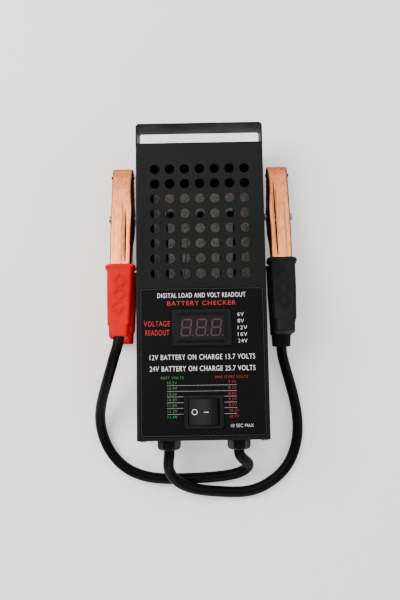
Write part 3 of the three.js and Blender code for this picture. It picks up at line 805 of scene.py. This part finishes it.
class TESTER_OT_rear_cover(bpy.types.Operator):
    """Folds the rear cover, a pan with air slots low down"""

    bl_idname = "tester.rear_cover"
    bl_label = "Rear cover"

    def execute(self, context):
        side = [(1.5, 58.5), (1.5, 1.6)] + arc(3.1, 1.6, 1.6, 180, 270)
        side += arc(240.6, 1.6, 1.6, 270, 360) + [(242.2, 58.5)]
        cover = prism("rear_cover", side, -52, 52, "x")
        carve(cover, block("room", (-50.8, 50.8), (2.7, 241), (1.2, 80)))
        for low, high in ((-60, -50.8), (50.8, 60)):
            carve(cover, block("side_room", (low, high), (2.7, 241), (16, 80)))
        slot = prism("slot", box_outline(-34, 34, -2.5, 2.5, 2.499, 8), -3, 3)
        case = context.scene.tester_case
        slots = repeated("slots", slot, 1, 6, case.pitch, case.pitch, "case")
        carve(cover, place(slots, shift_mm(y=60)))
        for x in (-GLAND_X, GLAND_X):
            way = turned("gland_way", [(7.1, -2), (7.1, 8)], "y", 32)
            carve(cover, place(way, shift_mm(x=x, z=GLAND_Z)))
        rounded(cover, case.edge_round / MM, 2, 40)
        stand_in(case_place(cover), "case")
        return {"FINISHED"}


BOLT_PITCH = 25
BOLT_ROWS = (125, 183)


def pan_head(shank=3.0):
    """A pan-head screw along -Z with a cross recess, its head above z = 0."""
    radius, rim, height = 3.2, 0.75, 1.8
    profile = [(0.02, -shank), (1.4, -shank), (1.4, 0), (radius, 0), (radius, rim)]
    for angle in map(math.radians, (20, 40, 60, 75)):
        profile.append((radius * math.cos(angle), rim + (height - rim) * math.sin(angle)))
    head = turned("screw", profile + [(0.02, height)], "z", 32)
    for outline in (box_outline(-1.8, 1.8, -0.35, 0.35), box_outline(-0.35, 0.35, -1.8, 1.8)):
        carve(head, prism("recess", outline, height - 0.9, height + 1))
    return smooth(head, 30)


class TESTER_OT_screws(bpy.types.Operator):
    """Drives the screws of the case and of the load element"""

    bl_idname = "tester.screws"
    bl_label = "Screws"

    def execute(self, context):
        for name, degrees in (("right", 90), ("left", -90)):
            for i in (1, 2):
                node = f"side_screw_{name}_{i}"
                middle = box_centre(node)
                middle.x = math.copysign(CASE_HIGH.x, middle.x)
                self.drive(node, middle, turn_about("Y", degrees), "black_steel", "black_screw")
        for name in ("left", "right"):
            node = f"bottom_screw_{name}"
            middle = box_centre(node)
            middle.y = CASE_BOTTOM
            self.drive(node, middle, turn_about("X", 90), "steel", "spring_steel")
        low_row, high_row = BOLT_ROWS
        screws = repeated(
            "element_screws", pan_head(8), 3, 2, BOLT_PITCH * MM, (high_row - low_row) * MM,
            "dark_bolt",
        )
        place(screws, shift_mm(y=(low_row + high_row) / 2, z=46.9))
        smooth(case_place(screws), 30)
        nodes = [f"element_screw_{w}_{i}" for w in ("upper", "lower") for i in (1, 2, 3)]
        dress(screws, "dark_bolt", "root", nodes)
        return {"FINISHED"}

    def drive(self, node, middle, turn, material, slot):
        """Puts a pan-head screw in place of a node."""
        piece = place(pan_head(), Matrix.Translation(middle) @ turn)
        piece.name = node
        stand_in(piece, material)


# ------------------------------------------------------------------ face plate
FILM_LOW, FILM_TOP = 60, 60.4
SMALL_PRINT = 3.5


def lettering(words, x0, x1, y0, y1):
    """Words as flat mesh corners and faces, fitted in a box in millimetres on the film."""
    curve = bpy.data.curves.new("words", "FONT")
    curve.body = words
    curve.space_character = 1.14
    if y1 - y0 < SMALL_PRINT:
        curve.offset = -0.012  # thinner strokes, so that small letters don't run together
    curve.resolution_u = 3
    curve.extrude = 0.02
    holder = object_from("words", curve)
    mesh = result_of(holder)
    bpy.data.objects.remove(holder)
    low = Vector([min(v.co[i] for v in mesh.vertices) for i in range(3)])
    high = Vector([max(v.co[i] for v in mesh.vertices) for i in range(3)])
    size = ((x1 - x0) * MM / (high.x - low.x), (y1 - y0) * MM / (high.y - low.y),
            bpy.context.scene.tester_print.ink_height / (high.z - low.z))
    fit = Matrix.Translation((x0 * MM, y0 * MM, FILM_TOP * MM)) @ Matrix.Diagonal((*size, 1))
    mesh.transform(fit @ Matrix.Translation(-low))
    tidy(mesh, 1e-6)
    return object_from("words", mesh)


def ink_top():
    """Height of the print's face, in millimetres."""
    return FILM_TOP + bpy.context.scene.tester_print.ink_height / MM


def ruled(x0, x1, y):
    """A ruled line across the film."""
    return block("rule", (x0, x1), (y - 0.15, y + 0.15), (FILM_TOP, ink_top()))


class TESTER_OT_face_plate(bpy.types.Operator):
    """Lays the printed film on the front panel"""

    bl_idname = "tester.face_plate"
    bl_label = "Face plate"

    def execute(self, context):
        film = prism("faceplate_label", box_outline(-50.5, 51, 2.8, 121.3, 3, 10),
                     FILM_LOW, FILM_TOP)
        carve(film, block("meter_hole", (-24.3, 24.3), (74.2, 103.8), PANEL_CUT))
        carve(film, block("switch_hole", (-15.55, 16.55), (9.25, 35.35), PANEL_CUT))
        stand_in(case_place(smooth(film, 30)), "film")
        line = prism("border_line", box_outline(-49.7, 50.2, 3.6, 120.5, 2.3, 10),
                     FILM_TOP, ink_top())
        carve(line, prism("inside", box_outline(-49.4, 49.9, 3.9, 120.2, 2, 10), 55, 65))
        dress(case_place(line), "border")
        self.print_rows()
        return {"FINISHED"}

    def print_rows(self):
        """Prints the title, the scales and the table of limits."""
        white = [
            lettering("DIGITAL LOAD AND VOLT READOUT", -36, 36, 113.2, 117),
            lettering("12V BATTERY ON CHARGE 13.7 VOLTS", -42.6, 42.6, 63.4, 67.5),
            lettering("24V BATTERY ON CHARGE 25.7 VOLTS", -42.6, 42.6, 54.3, 58.4),
            lettering("10 SEC MAX", 22, 40, 10, 12.5),
        ]
        for i, words in enumerate(("6V", "8V", "12V", "16V", "24V")):
            y = 99.2 - 5.35 * i
            white.append(lettering(words, 29.2, 29.2 + 2.5 * len(words), y - 1.5, y + 1.5))
        red = [
            lettering("BATTERY CHECKER", -28, 28, 106.9, 110.5),
            lettering("VOLTAGE", -47.2, -26, 90.2, 94.6),
            lettering("READOUT", -46, -26.6, 83, 87.4),
            lettering("MIN START VOLTS", 10.4, 36.2, 48.3, 50.3),
        ]
        green = [lettering("REST VOLTS", -33.6, -15.4, 48.2, 50.2)]
        for i, y in enumerate((45.3, 40.8, 36.3, 31.9, 27.4, 23, 18.5)):
            rest_volts = f"{10.2 + 0.2 * i:.1f}V"
            load_volts = f"{7.7 + 0.5 * i:.1f}V"
            green.append(lettering(rest_volts, -28.4, -20.8, y - 1.1, y + 1.1))
            left, right = (20.6, 26.8) if len(load_volts) == 4 else (21.2, 28.6)
            red.append(lettering(load_volts, left, right, y - 1.1, y + 1.1))
        grey_lines = [ruled(-28.8, 27.2, 38.5), ruled(-28.8, 27.2, 43.1)]
        for y in (34.2, 29.6, 25.2, 20.6):
            grey_lines += [ruled(-28.8, -15.7, y), ruled(16.7, 27.2, y)]
        printed = {"white": white, "red": red, "green": green, "grey": grey_lines}
        for name, pieces in printed.items():
            piece = case_place(join(f"print_{name}", pieces))
            dress(piece, name)


# ------------------------------------------------------------------ digital meter
METER_Y = 89
DIGIT_HEIGHT, DIGIT_WIDTH, DIGIT_PITCH = 14.2, 8.6, 12.2
SLANT = math.tan(math.radians(7))


def seven_segments():
    """The seven bars and the dot of one digit, in millimetres from its lower left corner."""
    half, reach, gap = DIGIT_HEIGHT / 2, 1.35 / 2, 0.22
    bars = []
    for y in (reach, half, DIGIT_HEIGHT - reach):
        x0, x1 = reach + gap, DIGIT_WIDTH - reach - gap
        bars.append([(x0, y), (x0 + reach, y - reach), (x1 - reach, y - reach), (x1, y),
                     (x1 - reach, y + reach), (x0 + reach, y + reach)])
    for x in (reach, DIGIT_WIDTH - reach):
        for low in (reach, half):
            y0, y1 = low + gap, low + half - reach - gap
            bars.append([(x, y0), (x + reach, y0 + reach), (x + reach, y1 - reach), (x, y1),
                         (x - reach, y1 - reach), (x - reach, y0 + reach)])
    return bars + [arc(DIGIT_WIDTH + 1.5, 0.8, 0.8, 0, 330, 11)]


class TESTER_OT_meter(bpy.types.Operator):
    """Fits the digital meter: bezel, display block with unlit segments, and circuit board"""

    bl_idname = "tester.meter"
    bl_label = "Digital meter"

    def execute(self, context):
        bezel = prism("meter_bezel", box_outline(-24, 24, -14.5, 14.5, 1.2, 6), 60, 62.2)
        rounded(bezel, 0.4, 3, 40)
        carve(bezel, block("barrel", (-22.8, 22.8), (-13.2, 13.2), (39, 60.1)), "UNION")
        carve(bezel, block("cavity", (-21.8, 21.8), (-12.2, 12.2), (38, 59.3)))
        mouth = ((18, 9.9, 58), (18.1, 10, 59.4), (21.6, 12.3, 62.3))
        carve(bezel, skin("mouth", [level_ring(*level, 0.4) for level in mouth]))
        seat = shift_mm(y=METER_Y)
        stand_in(case_place(place(smooth(bezel, 25), seat)), "abs")
        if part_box("meter_display_block")[1].z > PANEL_Z:
            raise ValueError("the display block stands above the panel")
        display = prism("meter_display_block", box_outline(-19.5, 19.5, -10.2, 10.2, 0.3), 51, 59)
        stand_in(case_place(place(display, seat)), "display")
        bars = []
        for i in (-1, 0, 1):
            for outline in seven_segments():
                middle = DIGIT_PITCH * i - 0.5
                slanted = [(x - DIGIT_WIDTH / 2 + middle + SLANT * (y - DIGIT_HEIGHT / 2),
                            y - DIGIT_HEIGHT / 2) for x, y in outline]
                bars.append(prism("bar", slanted, 58.9, 59.06))
        digits = place(join("meter_segments", bars), seat)
        dress(case_place(digits), "segment")
        board = rounded_box("meter_circuit_board", *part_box("meter_circuit_board"), 0.2)
        stand_in(board, "board")
        return {"FINISHED"}


# ------------------------------------------------------------------ rocker switch
PIVOT = Vector(JOINTS["rocker_press"]["pos_m"])
ROCKER_TILT = 12


def rocker_top(x):
    """Height of the rocker's dished top above its pivot, in millimetres, in level position."""
    return mix(x, [
        (-11.1, 5.5), (-9, 5.05), (-6, 4.82), (-3, 4.8), (0, 4.95), (3.6, 5.4), (7, 6.3)])


class TESTER_OT_switch(bpy.types.Operator):
    """Fits the rocker switch: housing, rocker with its marks, and the contacts inside"""

    bl_idname = "tester.switch"
    bl_label = "Rocker switch"

    def execute(self, context):
        base = shift_mm(PIVOT.x / MM, PIVOT.y / MM, 60)
        flange = box_outline(-15.75, 15.75, -12.75, 12.75, 1.4, 6)
        housing = prism("switch_housing", flange, 0, 2.2)
        rounded(housing, 0.6, 3, 40)
        carve(housing, block("barrel", (-14, 14), (-11, 11), (-26, 0.1)), "UNION")
        mouth = ((12.4, 10.2, -24), (12.4, 10.2, 0.9), (12.9, 10.2, 3))
        carve(housing, skin("cavity", [level_ring(*level, 0.5) for level in mouth]))
        way = turned("trunnion_way", [(1.8, -10.9), (1.8, 10.9)], "y", 24)
        carve(housing, place(way, shift_mm(z=-1.5)))
        for x in (-8, 0, 8):
            carve(housing, block("slot", (x - 0.7, x + 0.7), (-3.5, 3.5), (-27, -22)))
        stand_in(place(smooth(housing, 30), base), "abs")
        self.rocker()
        for part in ("contact_arm", "terminal_1", "terminal_2", "terminal_3", "plunger"):
            paint_node(f"switch_{part}", "brass")
        paint_node("switch_spring", "steel")
        return {"FINISHED"}

    def rocker(self):
        """The rocker with its dished top, O and dash, in its pressed rest position."""
        top = [(x, rocker_top(x)) for x in [7 - 18.1 * i / 24 for i in range(25)]]
        side = [(-12, -1), (-10, -4.6), (-3.4, -5.2), (-3.4, -9.8), (3.4, -9.8), (3.4, -5.2),
                (10, -4.6), (12, -1)] + top
        piece = prism("rocker", side, -9.9, 9.9, "y")
        for low, high in ((-12, -3.4), (3.4, 12)):
            carve(piece, block("boss_side", (-5, 5), (low, high), (-12, -5.3)))
        carve(piece, turned("bore", [(2.2, -12), (2.2, -3)], "z", 24))
        rounded(piece, 0.45, 3, 35)
        carve(piece, turned("trunnion", [(1.5, -10.7), (1.5, 10.7)], "y", 24), "UNION")
        smooth(piece, 30)
        turn = Matrix.Translation(PIVOT) @ turn_about("Y", -ROCKER_TILT)
        ring = turned("off_ring", [(2.3, 0), (2.3, 9)], "z", 32)
        carve(ring, turned("hole", [(1.85, -1), (1.85, 10)], "z", 32))
        bar = block("on_bar", (-2, 2), (-0.22, 0.22), (0, 9))
        marks = [self.mark(ring, -6.5), self.mark(bar, 3.2)]
        dress(place(join("rocker_marks", marks), turn), "white", "rocker_body")
        stand_in(place(piece, turn), "rocker", "rocker_body")

    def mark(self, tool, x):
        """A thin inlay in the rocker's top, cut from an upright tool."""
        place(tool, shift_mm(x=x))
        xs = [x - 3.2 + 6.4 * i / 8 for i in range(9)]
        over = [(a, rocker_top(a) + 0.06) for a in xs]
        under = [(a, rocker_top(a) - 0.25) for a in reversed(xs)]
        band = prism("band", over + under, -4, 4, "y")
        return carve(tool, band, "INTERSECT")


# ------------------------------------------------------------------ load element
LEG_PITCH, LEG_NARROW, LEG_WIDE = 11.3, 4.05, 5.4
LEG_ENDS = (121, 204)
ELEMENT_LEFT, ELEMENT_RIGHT = -39.2, 41.6
STRIP = (46, 46.8)


class TESTER_OT_load_element(bpy.types.Operator):
    """Adds the resistance strips, their bus bars and the insulating boards"""

    bl_idname = "tester.load_element"
    bl_label = "Load element"

    def execute(self, context):
        for i, legs in enumerate(((-3, -2), (-1, 0, 1), (2, 3))):
            panel = self.panel(legs, BOLT_PITCH * (i - 1))
            panel.name = f"load_element_{i + 1}"
            stand_in(case_place(panel), "element")
        for where in ("upper", "lower"):
            paint_node(f"bus_bar_{where}", "dark_brass")
            # the insulator bars wear the near-black mica: painted shade inside the case
            paint_node(f"insulator_bar_{where}", "mica")
        return {"FINISHED"}

    def panel(self, legs, bolt_x):
        """One stamped panel of tapering legs, joined across both ends."""
        low, high = LEG_ENDS
        span = (max(legs[0] * LEG_PITCH - LEG_NARROW, ELEMENT_LEFT),
                legs[-1] * LEG_PITCH + LEG_NARROW)
        panel = block("panel", span, (low, low + 6), STRIP)
        carve(panel, block("top", span, (high - 8, high), STRIP), "UNION")
        for leg in legs:
            x = leg * LEG_PITCH
            left = (x - LEG_NARROW, x - LEG_WIDE) if leg > -3 else (ELEMENT_LEFT,) * 2
            right = (x + LEG_NARROW, x + LEG_WIDE) if leg < 3 else (ELEMENT_RIGHT,) * 2
            plan = [(left[0], low), (right[0], low), (right[1], high), (left[1], high)]
            carve(panel, prism("leg", plan, *STRIP), "UNION")
        for y in BOLT_ROWS:
            way = turned("bolt_way", [(1.8, 40), (1.8, 50)], "z", 24)
            carve(panel, place(way, shift_mm(x=bolt_x, y=y)))
        return rounded(panel, 0.12, 1, 50)


# ------------------------------------------------------------------ cable glands
LEAD_WAY = [(4.8, -20), (4.8, 20)]


def hexagon(across):
    """A hexagon from its width over the corners, one corner on each side."""
    return arc(0, 0, across / 2, 0, 300, 5)


class TESTER_OT_glands(bpy.types.Operator):
    """Screws the two cable glands in the bottom edge, with the inner leads"""

    bl_idname = "tester.glands"
    bl_label = "Cable glands"

    def execute(self, context):
        for side, x in (("left", -GLAND_X), ("right", GLAND_X)):
            seat = shift_mm(x=x, z=GLAND_Z)
            body = prism("body", hexagon(20), -3.4, 1.2, "y")
            carve(body, turned("chamfer", [(9.2, -3.4), (10.6, -2.8), (10.6, 2)]), "INTERSECT")
            carve(body, turned("shank", [(6.8, 1.1), (6.8, 9)]), "UNION")
            carve(body, turned("neck", [(6, -6.9), (6, -3.3)]), "UNION")
            carve(body, turned("way", LEAD_WAY))
            rounded(body, 0.2, 2, 30)
            self.fit(body, f"gland_body_{side}", seat)
            nut = prism("nut", hexagon(19.4), -11, -3.7, "y")
            dome = [(6.4, -11), (7.6, -10.8), (8.7, -10.1), (9.4, -9), (9.75, -7.6),
                    (9.75, -4.2), (9.3, -3.7)]
            carve(nut, turned("dome", dome), "INTERSECT")
            carve(nut, turned("way", LEAD_WAY))
            carve(nut, turned("room", [(6.3, -7.2), (6.3, 0)]))
            rounded(nut, 0.2, 2, 30)
            self.fit(nut, f"gland_nut_{side}", seat)
            lock = prism("lock", hexagon(20), 3, 7, "y")
            carve(lock, turned("way", [(7.1, 0), (7.1, 10)]))
            rounded(lock, 0.3, 2, 30)
            self.fit(lock, f"gland_locknut_{side}", seat)
            paint_node(f"inner_lead_{side}", "rubber")
        return {"FINISHED"}

    def fit(self, piece, node, seat):
        """Puts a gland piece on its seat."""
        piece.name = node
        stand_in(case_place(place(piece, seat)), "nylon")


# ------------------------------------------------------------------ clamps
# an arm's own frame: the hinge pin along x at the origin, the jaw's tip at +y, the spine at +z
SPINE = 13.5
CHANNEL = 9.5
JAW = 46
ARM = 92
JAW_RISE = math.radians(7.5)
RIM_ROLL = 1.75
COIL = {"half_length": 4.6, "radius": 3.55, "wire": 0.9, "points_a_turn": 20, "turns": 5}
UPPER_ARM = {"width": 18.5, "flare": 1.5}
LOWER_ARM = {"width": 15.4, "flare": 0.8}
# rim and grips: how far the sleeves start and end behind the pin; groove: the pressed slit's two
# ends; raised: the x of the crown beside it
CLAMPS = {
    "positive": {"plastic": "red_pvc", "rim": 46.5, "lead": 108.8, "free": 108.8,
                 "groove": (4.0, -45, 3.8, 6), "raised": -1.6, "lead_on_top": True,
                 "exit": (0.029, CASE_BOTTOM - 0.0110, 0.030)},
    "negative": {"plastic": "black_pvc", "rim": 42.7, "lead": 113, "free": 106.5,
                 "groove": (-3.1, -41.5, -4.0, 29), "raised": 2.2, "lead_on_top": False,
                 "exit": (-0.029, CASE_BOTTOM - 0.0110, 0.030)},
}


def ease(value):
    """A smooth step from 0 to 1."""
    t = min(1.0, max(0.0, value))
    return t * t * (3 - 2 * t)


def jaw_point(along, above):
    """A point of the jaw's biting edge, as y and z in the arm's frame."""
    return (along * math.cos(JAW_RISE) - above * math.sin(JAW_RISE),
            along * math.sin(JAW_RISE) + above * math.cos(JAW_RISE))


def arm_half_width(y, half):
    """Half the arm's width at a place along it."""
    narrow = mix(y, [(-94, half - 2.6), (-30, half), (42, half)])
    tip = max(0.0, (y - 42.6) / 3.2)
    return narrow - 1.6 * (1 - math.sqrt(max(0.0, 1 - tip * tip)))


SPINE_LINE = [(-95, SPINE), (6, SPINE), (24, 12.95), (36, 11.7), (42.6, 10.6), (44.4, 10),
              (45.3, 9), (45.75, 7.6)]


def trough(x, y, groove):
    """Depth of the shallow trough that the pressed slit lies in."""
    x0, y0, x1, y1 = groove
    t = (y - y0) / (y1 - y0)
    if t <= 0 or t >= 1:
        return 0.0
    centre = x0 + (x1 - x0) * t
    return 0.4 * ease((2.2 - abs(x - centre)) / 1.6) * min(1.0, 6 * t, 6 * (1 - t))


def slit(groove):
    """A slim cutter along the groove, widest in its lower half."""
    x0, y0, x1, y1 = groove
    sides = ([], [])
    for i in range(25):
        t = i / 24
        half = 0.12 + 0.58 * math.sin(math.pi * t ** 0.75) ** 0.4
        x, y = x0 + (x1 - x0) * t, y0 + (y1 - y0) * t
        sides[0].append((x - half, y))
        sides[1].append((x + half, y))
    return prism("slit", sides[0] + sides[1][::-1], SPINE - 2.4, SPINE + 2)


def arm_section(y, half, deep, groove, raised, flare):
    """An inverted-U section of the channel: leaning walls, rounded shoulders and a spine.

    deep sinks the spine for the hollow inside; without raised the spine is plain.
    """
    top = mix(y, SPINE_LINE) - deep
    left = right = 1.5 - deep * 0.5
    if raised:
        pinch = 1.7 * ease(1.2 - abs(y - 26) / 18) + 0.9 * ease(1.2 - abs(y + 22) / 18)
        left, right = (left, right + pinch) if raised < 0 else (left + pinch, right)
    lean = mix(y, [(-36, 0), (-18, flare)])
    points = [(-half - lean, y, z) for z in (-14.0, -6.0, 0.0)]
    points += [(x, y, z) for x, z in arc(-half + left, top - left, left, 180, 90, 6)]
    span = 2 * half - left - right
    for i in range(1, 40):
        x = -half + left + span * i / 40
        lift = 0.0
        if raised:
            crown = 0.35 * ease((3.1 - abs(x - raised)) / 1.4) * ease((14 - y) / 10)
            lift = crown - trough(x, y, groove)
        points.append((x, y, top + lift))
    points += [(x, y, z) for x, z in arc(half - right, top - right, right, 90, 0, 6)]
    return points + [(half + lean, y, z) for z in (0.0, -6.0, -14.0)]


def clamp_arm(name, width, flare, groove, raised):
    """One pressed jaw arm: a channel with ears, teeth and a groove in its spine."""
    half = width / 2
    stations = [-ARM, -80, -60, -45, *range(-40, 42), 42.6, 43.4, 44.1, 44.7, 45.15, 45.5, 45.72]
    arm = skin(name, [
        arm_section(y, arm_half_width(y, half), 0, groove, raised, flare) for y in stations])
    paint(arm, "copper")
    rooms = [-ARM - 3, -60, -36, -30, -18, 0, 10, 24, 36, 42.6, 44.4]
    hollow = skin("hollow", [
        arm_section(y, arm_half_width(y, half) - 1.2, 1.2, groove, 0, flare) for y in rooms])
    # the channel's hollow inside takes a brown-black copper: painted shade
    carve(arm, paint(hollow, "tarnish"))
    side = [jaw_point(JAW, 0.4), (47, 6.5), (47, 16), (-ARM - 4, 16), (-ARM - 4, SPINE - CHANNEL),
            (-34, SPINE - CHANNEL), (-24, 2.6), (-15, 0)]
    side += arc(0, 0, 6.5, 200, 332, 14)
    side.append(jaw_point(10, 0.4))
    along = 19.0
    while along < JAW - 1:
        side += [jaw_point(along, 0.4), jaw_point(along + 1.9, 1.9), jaw_point(along + 2.6, 1.9)]
        along += 4.5
    carve(arm, prism("side", side, -30, 30, "x"), "INTERSECT")
    carve(arm, turned("pin_way", [(2.3, -30), (2.3, 30)], "x", 24))
    # the slit's walls take the same brown-black copper: painted shade, so the slit reads dark
    carve(arm, paint(slit(groove), "tarnish"))
    rounded(arm, 0.12, 1, 50)
    # faces turned sideways take a darker copper: painted shade on the arms' side walls
    arm.data.materials.append(MATERIALS["flank"])
    for face in arm.data.polygons:
        if face.material_index == 0 and abs(face.normal.x) > 0.45:
            face.material_index = len(arm.data.materials) - 1
    return arm


def raise_diamonds(sleeve, first, face):
    """Adds the moulded chain of nested diamonds on a sleeve's flat face."""
    for centre in (first, first - 11, first - 22):
        for size in (1.0, 0.66):
            outer, inner = (
                [(0, centre - 8.2 * s), (6 * s, centre), (0, centre + 8.2 * s), (-6 * s, centre)]
                for s in (size, size - 0.14))
            ridge = prism("ridge", outer, face - 0.4, face + 0.6)
            carve(ridge, prism("inside", inner, face - 1, face + 1))
            carve(sleeve, ridge, "UNION")
    return sleeve


def sleeve_section(y, wide, low, high, radius):
    """A rounded-rectangle section."""
    r = min(radius, wide - 0.5, (high - low) / 2 - 0.2)
    return [(x, y, z) for x, z in box_outline(-wide, wide, low, high, r, 8)]


def grip_sleeve(name, bored, rim, grip):
    """A dipped sleeve: rolled rim, taper, diamond relief and a stepped collar at its end."""
    high, low = SPINE + 1.5, SPINE - CHANNEL - 1.8
    # the collar: distance from the end, half width, drop below the sleeve's faces, corner radius
    rows = [(0, 7.2, 0.9, 3.4), (0.35, 7.7, 0.5, 3.8), (1, 7.9, 0.3, 4), (9, 8.3, 0.3, 4),
            (9.5, 8.4, 0.25, 4), (9.9, 9, 0.1, 3.6), (10.4, 9.2, 0, 3.4), (11.2, 9.35, 0, 3.4)]
    rings = [sleeve_section(y - grip, wide, low + drop, high - drop, radius)
             for y, wide, drop, radius in rows]
    y = 12 - grip
    while y < -rim - 3.8:
        wide = mix(y, [(-97, 9.4), (-68, 10.8), (-rim - 3.5, 11.2)])
        rings.append(sleeve_section(y, wide, low, high, 3.4))
        y += 1.5
    for i in range(11):
        angle = math.pi * i / 10
        swell = RIM_ROLL * math.sin(angle)
        rings.append(sleeve_section(
            -rim - RIM_ROLL - RIM_ROLL * math.cos(angle), 11.2 + swell, low - 0.35 * swell,
            high + 0.25 * swell, 3.6))
    sleeve = skin(name, rings)
    pocket = [sleeve_section(y, wide, low + 1.3, high - 1.2, 2)
              for y, wide in ((-ARM - 0.6, 7), (-30, 9.9))]
    carve(sleeve, skin("pocket", pocket))
    if bored:
        way = turned("way", [(4.8, -grip - 2), (4.8, -ARM + 1)], "y", 32)
        carve(sleeve, place(way, shift_mm(z=SPINE - CHANNEL / 2)))
    return smooth(raise_diamonds(sleeve, -rim - 16, high), 40)


def round_wire(name, points, radius_mm):
    """A round wire through points in millimetres, as a plain mesh."""
    curve = round_curve(name, radius_mm * MM, 3)
    line = curve.splines.new("POLY")
    line.points.add(len(points) - 1)
    for point, (x, y, z) in zip(line.points, points):
        point.co = (x * MM, y * MM, z * MM, 1)
    holder = object_from(name, curve)
    mesh = result_of(holder)
    bpy.data.objects.remove(holder)
    tidy(mesh)
    return smooth(object_from(name, mesh), 60)


class TESTER_OT_clamps(bpy.types.Operator):
    """Makes the two spring clamps and ties them to the leads"""

    bl_idname = "tester.clamps"
    bl_label = "Spring clamps"

    def execute(self, context):
        for sign, clamp in CLAMPS.items():
            pieces = self.clamp(sign, clamp)
        return {"FINISHED"}

    def clamp(self, sign, clamp):
        """Builds one clamp and returns its pieces."""
        hinge = Matrix.Translation(Vector(JOINTS[f"{sign}_clamp_squeeze"]["pos_m"]))
        upper = hinge @ Matrix.Rotation(-2 * JAW_RISE, 4, "X")
        lower = hinge @ turn_about("Y", 180)
        jaw_body = f"{sign}_free_jaw"
        halves = [(upper, UPPER_ARM), (lower, LOWER_ARM)]
        if not clamp["lead_on_top"]:
            halves.reverse()
        lead_frame = halves[0][0]
        made = []
        for part, body, (seat, size) in zip(("lead", "free"), ("root", jaw_body), halves):
            arm = clamp_arm(f"clamp_{sign}_{part}_arm", size["width"], size["flare"],
                            clamp["groove"], clamp["raised"])
            made.append(stand_in(place(arm, seat), None, body))
            sleeve = grip_sleeve(f"clamp_{sign}_{part}_grip", part == "lead", clamp["rim"],
                                 clamp[part])
            made.append(stand_in(place(sleeve, seat), clamp["plastic"], body))
        pin = turned(f"clamp_{sign}_hinge_pin", [
            (2.4, -12.3), (3.1, -12.1), (3.3, -11.8), (3.3, -11.1), (2, -11.05), (2, 11.05),
            (3.3, 11.1), (3.3, 11.8), (3.1, 12.1), (2.4, 12.3)], "x", 32)
        stand_in(place(smooth(pin, 35), hinge), "steel")
        spring = round_wire(f"clamp_{sign}_spring", self.coil(), COIL["wire"])
        stand_in(place(spring, lead_frame), "steel")
        crimp = turned(f"clamp_{sign}_crimp", [
            (3.0, -ARM + 0.2), (3.4, -ARM + 0.8), (3.4, -71), (2.4, -70)], "y", 32)
        place(crimp, shift_mm(z=SPINE - CHANNEL / 2 - 0.6))
        stand_in(place(smooth(crimp, 35), lead_frame), "brass")
        rivet = turned(f"clamp_{sign}_jaw_rivet", [
            (0.9, -10.45), (1.5, -10.15), (1.5, 10.15), (0.9, 10.45)], "x", 24)
        place(smooth(rivet, 35), upper @ shift_mm(y=36.7, z=8.4))
        dress(rivet, "black_steel", "root" if clamp["lead_on_top"] else jaw_body)
        return made + [pin, spring, crimp, rivet]

    def coil(self):
        """Points along the torsion spring, wound about the hinge pin."""
        half, radius, count = COIL["half_length"], COIL["radius"], COIL["points_a_turn"]
        last = count * COIL["turns"] - 1
        points = []
        for i in range(last + 1):
            angle = 2 * math.pi * i / count - math.pi / 2
            points.append((
                -half + 2 * half * i / last, radius * math.cos(angle), radius * math.sin(angle)))
        return points


# ------------------------------------------------------------------ panel
OPERATORS = (
    TESTER_OT_stage, TESTER_OT_leads, TESTER_OT_front_cover, TESTER_OT_rear_cover,
    TESTER_OT_screws, TESTER_OT_face_plate, TESTER_OT_meter, TESTER_OT_switch,
    TESTER_OT_load_element, TESTER_OT_glands, TESTER_OT_clamps,
)
SETTINGS = (TesterCaseSettings, TesterPrintSettings, TesterClampSettings)


class TESTER_PT_panel(bpy.types.Panel):
    """Lists the tester's settings and the steps that build it."""

    bl_idname = "TESTER_PT_panel"
    bl_label = "Load Tester"
    bl_space_type = "VIEW_3D"
    bl_region_type = "UI"
    bl_category = "Load Tester"

    def draw(self, context):
        scene = context.scene
        for group in (scene.tester_case, scene.tester_print, scene.tester_clamp):
            box = self.layout.box()
            for key in group.__annotations__:
                box.prop(group, key)
        column = self.layout.column()
        for operator in OPERATORS:
            column.operator(operator.bl_idname)


def register():
    for item in (*SETTINGS, *OPERATORS, TESTER_PT_panel):
        bpy.utils.register_class(item)
    bpy.types.Scene.tester_case = PointerProperty(type=TesterCaseSettings)
    bpy.types.Scene.tester_print = PointerProperty(type=TesterPrintSettings)
    bpy.types.Scene.tester_clamp = PointerProperty(type=TesterClampSettings)


def unregister():
    del bpy.types.Scene.tester_clamp
    del bpy.types.Scene.tester_print
    del bpy.types.Scene.tester_case
    for item in reversed((*SETTINGS, *OPERATORS, TESTER_PT_panel)):
        bpy.utils.unregister_class(item)


def main():
    """Builds the whole tester."""
    register()
    make_materials(bpy.context.scene)
    for operator in OPERATORS:
        getattr(bpy.ops.tester, operator.bl_idname.split(".")[1])()


if __name__ == "__main__":
    main()
